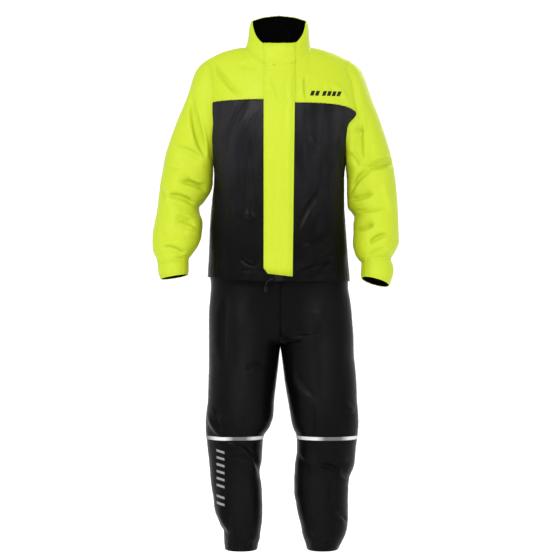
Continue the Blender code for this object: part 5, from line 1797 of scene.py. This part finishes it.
def turned_object(name, centre, axis, profile, sides, material, ring=False, bowl=False):
    """A turned body: each (radius, distance) of its profile goes round an axis through the
    centre. A ring's profile closes on itself, another body has flat ends, and a bowl is
    left open at the first."""
    axis = np.array(axis, float)
    beside = np.cross(axis, [1.0, 0.0, 0.0])
    above = np.cross(axis, beside)
    angle = np.linspace(0, 2 * math.pi, sides, endpoint=False)
    round_way = beside * np.cos(angle)[:, None] + above * np.sin(angle)[:, None]
    profile = np.array(profile)
    points = centre + profile[:, 1][:, None, None] * axis + profile[:, 0][:, None, None] * round_way
    rows = len(profile)
    count = rows if ring else rows - 1
    r, c = np.meshgrid(np.arange(count), np.arange(sides), indexing="ij")
    after, below = (c + 1) % sides, (r + 1) % rows
    near, far = r * sides, below * sides
    quads = np.stack([near + c, near + after, far + after, far + c], -1)
    faces = [quads.reshape(-1, 4)]
    if not ring:
        ends = [np.arange(sides)[None, ::-1], ((rows - 1) * sides + np.arange(sides))[None]]
        faces += ends[1:] if bowl else ends
    return mesh_object(name, points.reshape(-1, 3), faces, material)


class RAINSUIT_OT_hem_cord(Operator):
    """Makes the hem's eyelet, the free end of its drawcord and the toggle"""

    bl_idname = "rainsuit.hem_cord"
    bl_label = "Hem cord"

    def execute(self, context):
        centre = np.array([EYELET_X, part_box("hem_eyelet")[1].y, EYELET_Z])
        r, h, d = EYELET_RADIUS, EYELET_HOLE, EYELET_DEPTH
        profile = (
            (h, 0),
            (r, 0),
            (r, 0.35 * d),
            (r - 0.25 * d, 0.8 * d),
            (r - 0.8 * d, d),
            (h + 0.4 * d, 0.95 * d),
            (h, 0.6 * d),
        )
        plastic = finish_of(context, "toggle_plastic")
        out, sides = (0, -1, 0), TURNED_SIDES
        eyelet = turned_object("hem_eyelet_ring", centre, out, profile, sides, plastic, ring=True)
        join_suit(eyelet, "toggle_plastic", "hem_eyelet")

        line = along_route(np.array(CORD_ROUTE) * MM + centre, CORD_POINTS)
        braid = finish_of(context, "cord")
        cord = tube_object("hem_cord_braid", line, CORD_RADIUS, CORD_SIDES, braid)
        join_suit(cord, "cord", "hem_cord")

        end = line[-1] - (0, 0, SEAM_GAP)
        t, n = TOGGLE_RADIUS, TOGGLE_LENGTH
        profile = (
            (0.5 * t, 0),
            (0.62 * t, 0.02 * n),
            (0.66 * t, 0.16 * n),
            (0.9 * t, 0.2 * n),
            (t, 0.26 * n),
            (t, 0.8 * n),
            (0.93 * t, 0.92 * n),
            (0.7 * t, n),
        )
        down = (0, 0, -1)
        toggle = turned_object("cord_toggle_body", end, down, profile, sides, plastic)
        join_suit(toggle, "toggle_plastic", "cord_toggle")
        length = float(run(line[None], 1)[0][-1])
        return {"FINISHED"}


FLOOR_Z = -1.54
STUDIO_RADIUS, STUDIO_CURVE, STUDIO_TOP = 9.0, 2.5, 4.5
FLOOR_RINGS = [0.01, 3, 6]  # the radii of the flat floor's rings
VIEW_END = 60
CAMERA_AIM = (0.0029, 0.0, -0.6728)
WORLD_STRENGTH = 0.86
PAINT_GLOW = 0.17  # so that the studio's floor and wall come out white
# Each area light's place, size in metres and power in watts
LIGHTS = {
    "key light": ((-1.5, -3.6, 2.0), 1.0, 105),
    "fill light": ((3.4, -3.8, 0.2), 1.2, 24),
    "back light": ((2.4, 4.0, 2.4), 1.8, 120),
}


class RAINSUIT_OT_stage(Operator):
    """Sets the camera, the round studio floor and its soft lights"""

    bl_idname = "rainsuit.stage"
    bl_label = "Stage"

    def execute(self, context):
        scene, sizes = context.scene, context.scene.suit_sizes
        camera = bpy.data.cameras.new("camera")
        camera.lens = camera.sensor_width * sizes.view_distance / sizes.view_width
        camera.clip_end = VIEW_END
        holder = bpy.data.objects.new("camera", camera)
        holder.location = (CAMERA_AIM[0], -sizes.view_distance, CAMERA_AIM[2])
        holder.rotation_euler = (math.pi / 2, 0, 0)
        scene.collection.objects.link(holder)
        scene.camera = holder

        paint, _, _ = new_material(
            "matt studio paint",
            Base_Color=(*scene.suit_colours.studio, 1),
            Roughness=0.9,
            Specular_IOR_Level=0.1,
            Emission_Color=(1, 1, 1, 1),
            Emission_Strength=PAINT_GLOW,
        )
        turn = np.linspace(0, math.pi / 2, 16)
        radius = STUDIO_RADIUS - STUDIO_CURVE * (1 - np.sin(turn))
        radius = np.concatenate([FLOOR_RINGS, radius, [STUDIO_RADIUS]])
        height = np.concatenate([[0, 0, 0], STUDIO_CURVE * (1 - np.cos(turn)), [STUDIO_TOP]])
        profile = np.stack([radius, height], -1)[::-1]
        centre, up = np.array([0, 0, FLOOR_Z]), (0, 0, 1)
        floor = turned_object("studio_floor", centre, up, profile, STUDIO_SIDES, paint, bowl=True)
        bpy.ops.object.select_all(action="DESELECT")

        for name, (place, size, power) in LIGHTS.items():
            lamp = bpy.data.lights.new(name, "AREA")
            lamp.size = size
            lamp.energy = power
            holder = bpy.data.objects.new(name, lamp)
            holder.location = place
            aim = np.array(CAMERA_AIM) - np.array(place)
            holder.rotation_mode = "QUATERNION"
            holder.rotation_quaternion = Vector(aim).to_track_quat("-Z", "Y")
            holder.visible_camera = False
            scene.collection.objects.link(holder)

        world = bpy.data.worlds.new("studio")
        world.use_nodes = True
        sky = world.node_tree.nodes["Background"].inputs
        sky["Color"].default_value = (1, 1, 1, 1)
        sky["Strength"].default_value = WORLD_STRENGTH
        scene.world = world
        scene.view_settings.view_transform = "Standard"
        return {"FINISHED"}


class RAINSUIT_PT_panel(Panel):
    """Lists the steps that build the suit"""

    bl_idname = "RAINSUIT_PT_panel"
    bl_label = "Rain suit"
    bl_space_type = "VIEW_3D"
    bl_region_type = "UI"
    bl_category = "Rain suit"

    def draw(self, context):
        for step in STEPS:
            self.layout.operator(step.bl_idname)
        for group in (context.scene.suit_sizes, context.scene.suit_colours):
            for name in group.bl_rna.properties.keys():
                if name not in ("rna_type", "name"):
                    self.layout.prop(group, name)


STEPS = (
    RAINSUIT_OT_stage,
    RAINSUIT_OT_hem_cord,
    RAINSUIT_OT_fronts,
    RAINSUIT_OT_backs,
    RAINSUIT_OT_sleeves,
    RAINSUIT_OT_collar,
    RAINSUIT_OT_closing,
    RAINSUIT_OT_trousers,
)
CLASSES = (SuitSizes, SuitColours, *STEPS, RAINSUIT_PT_panel)


def register():
    for kind in CLASSES:
        bpy.utils.register_class(kind)
    bpy.types.Scene.suit_sizes = PointerProperty(type=SuitSizes)
    bpy.types.Scene.suit_colours = PointerProperty(type=SuitColours)


def unregister():
    del bpy.types.Scene.suit_sizes
    del bpy.types.Scene.suit_colours
    for kind in reversed(CLASSES):
        bpy.utils.unregister_class(kind)


def main():
    register()
    bpy.ops.rainsuit.stage()
    bpy.ops.rainsuit.hem_cord()
    bpy.ops.rainsuit.fronts()
    bpy.ops.rainsuit.backs()
    bpy.ops.rainsuit.sleeves()
    bpy.ops.rainsuit.collar()
    bpy.ops.rainsuit.closing()
    bpy.ops.rainsuit.trousers()


if __name__ == "__main__":
    main()
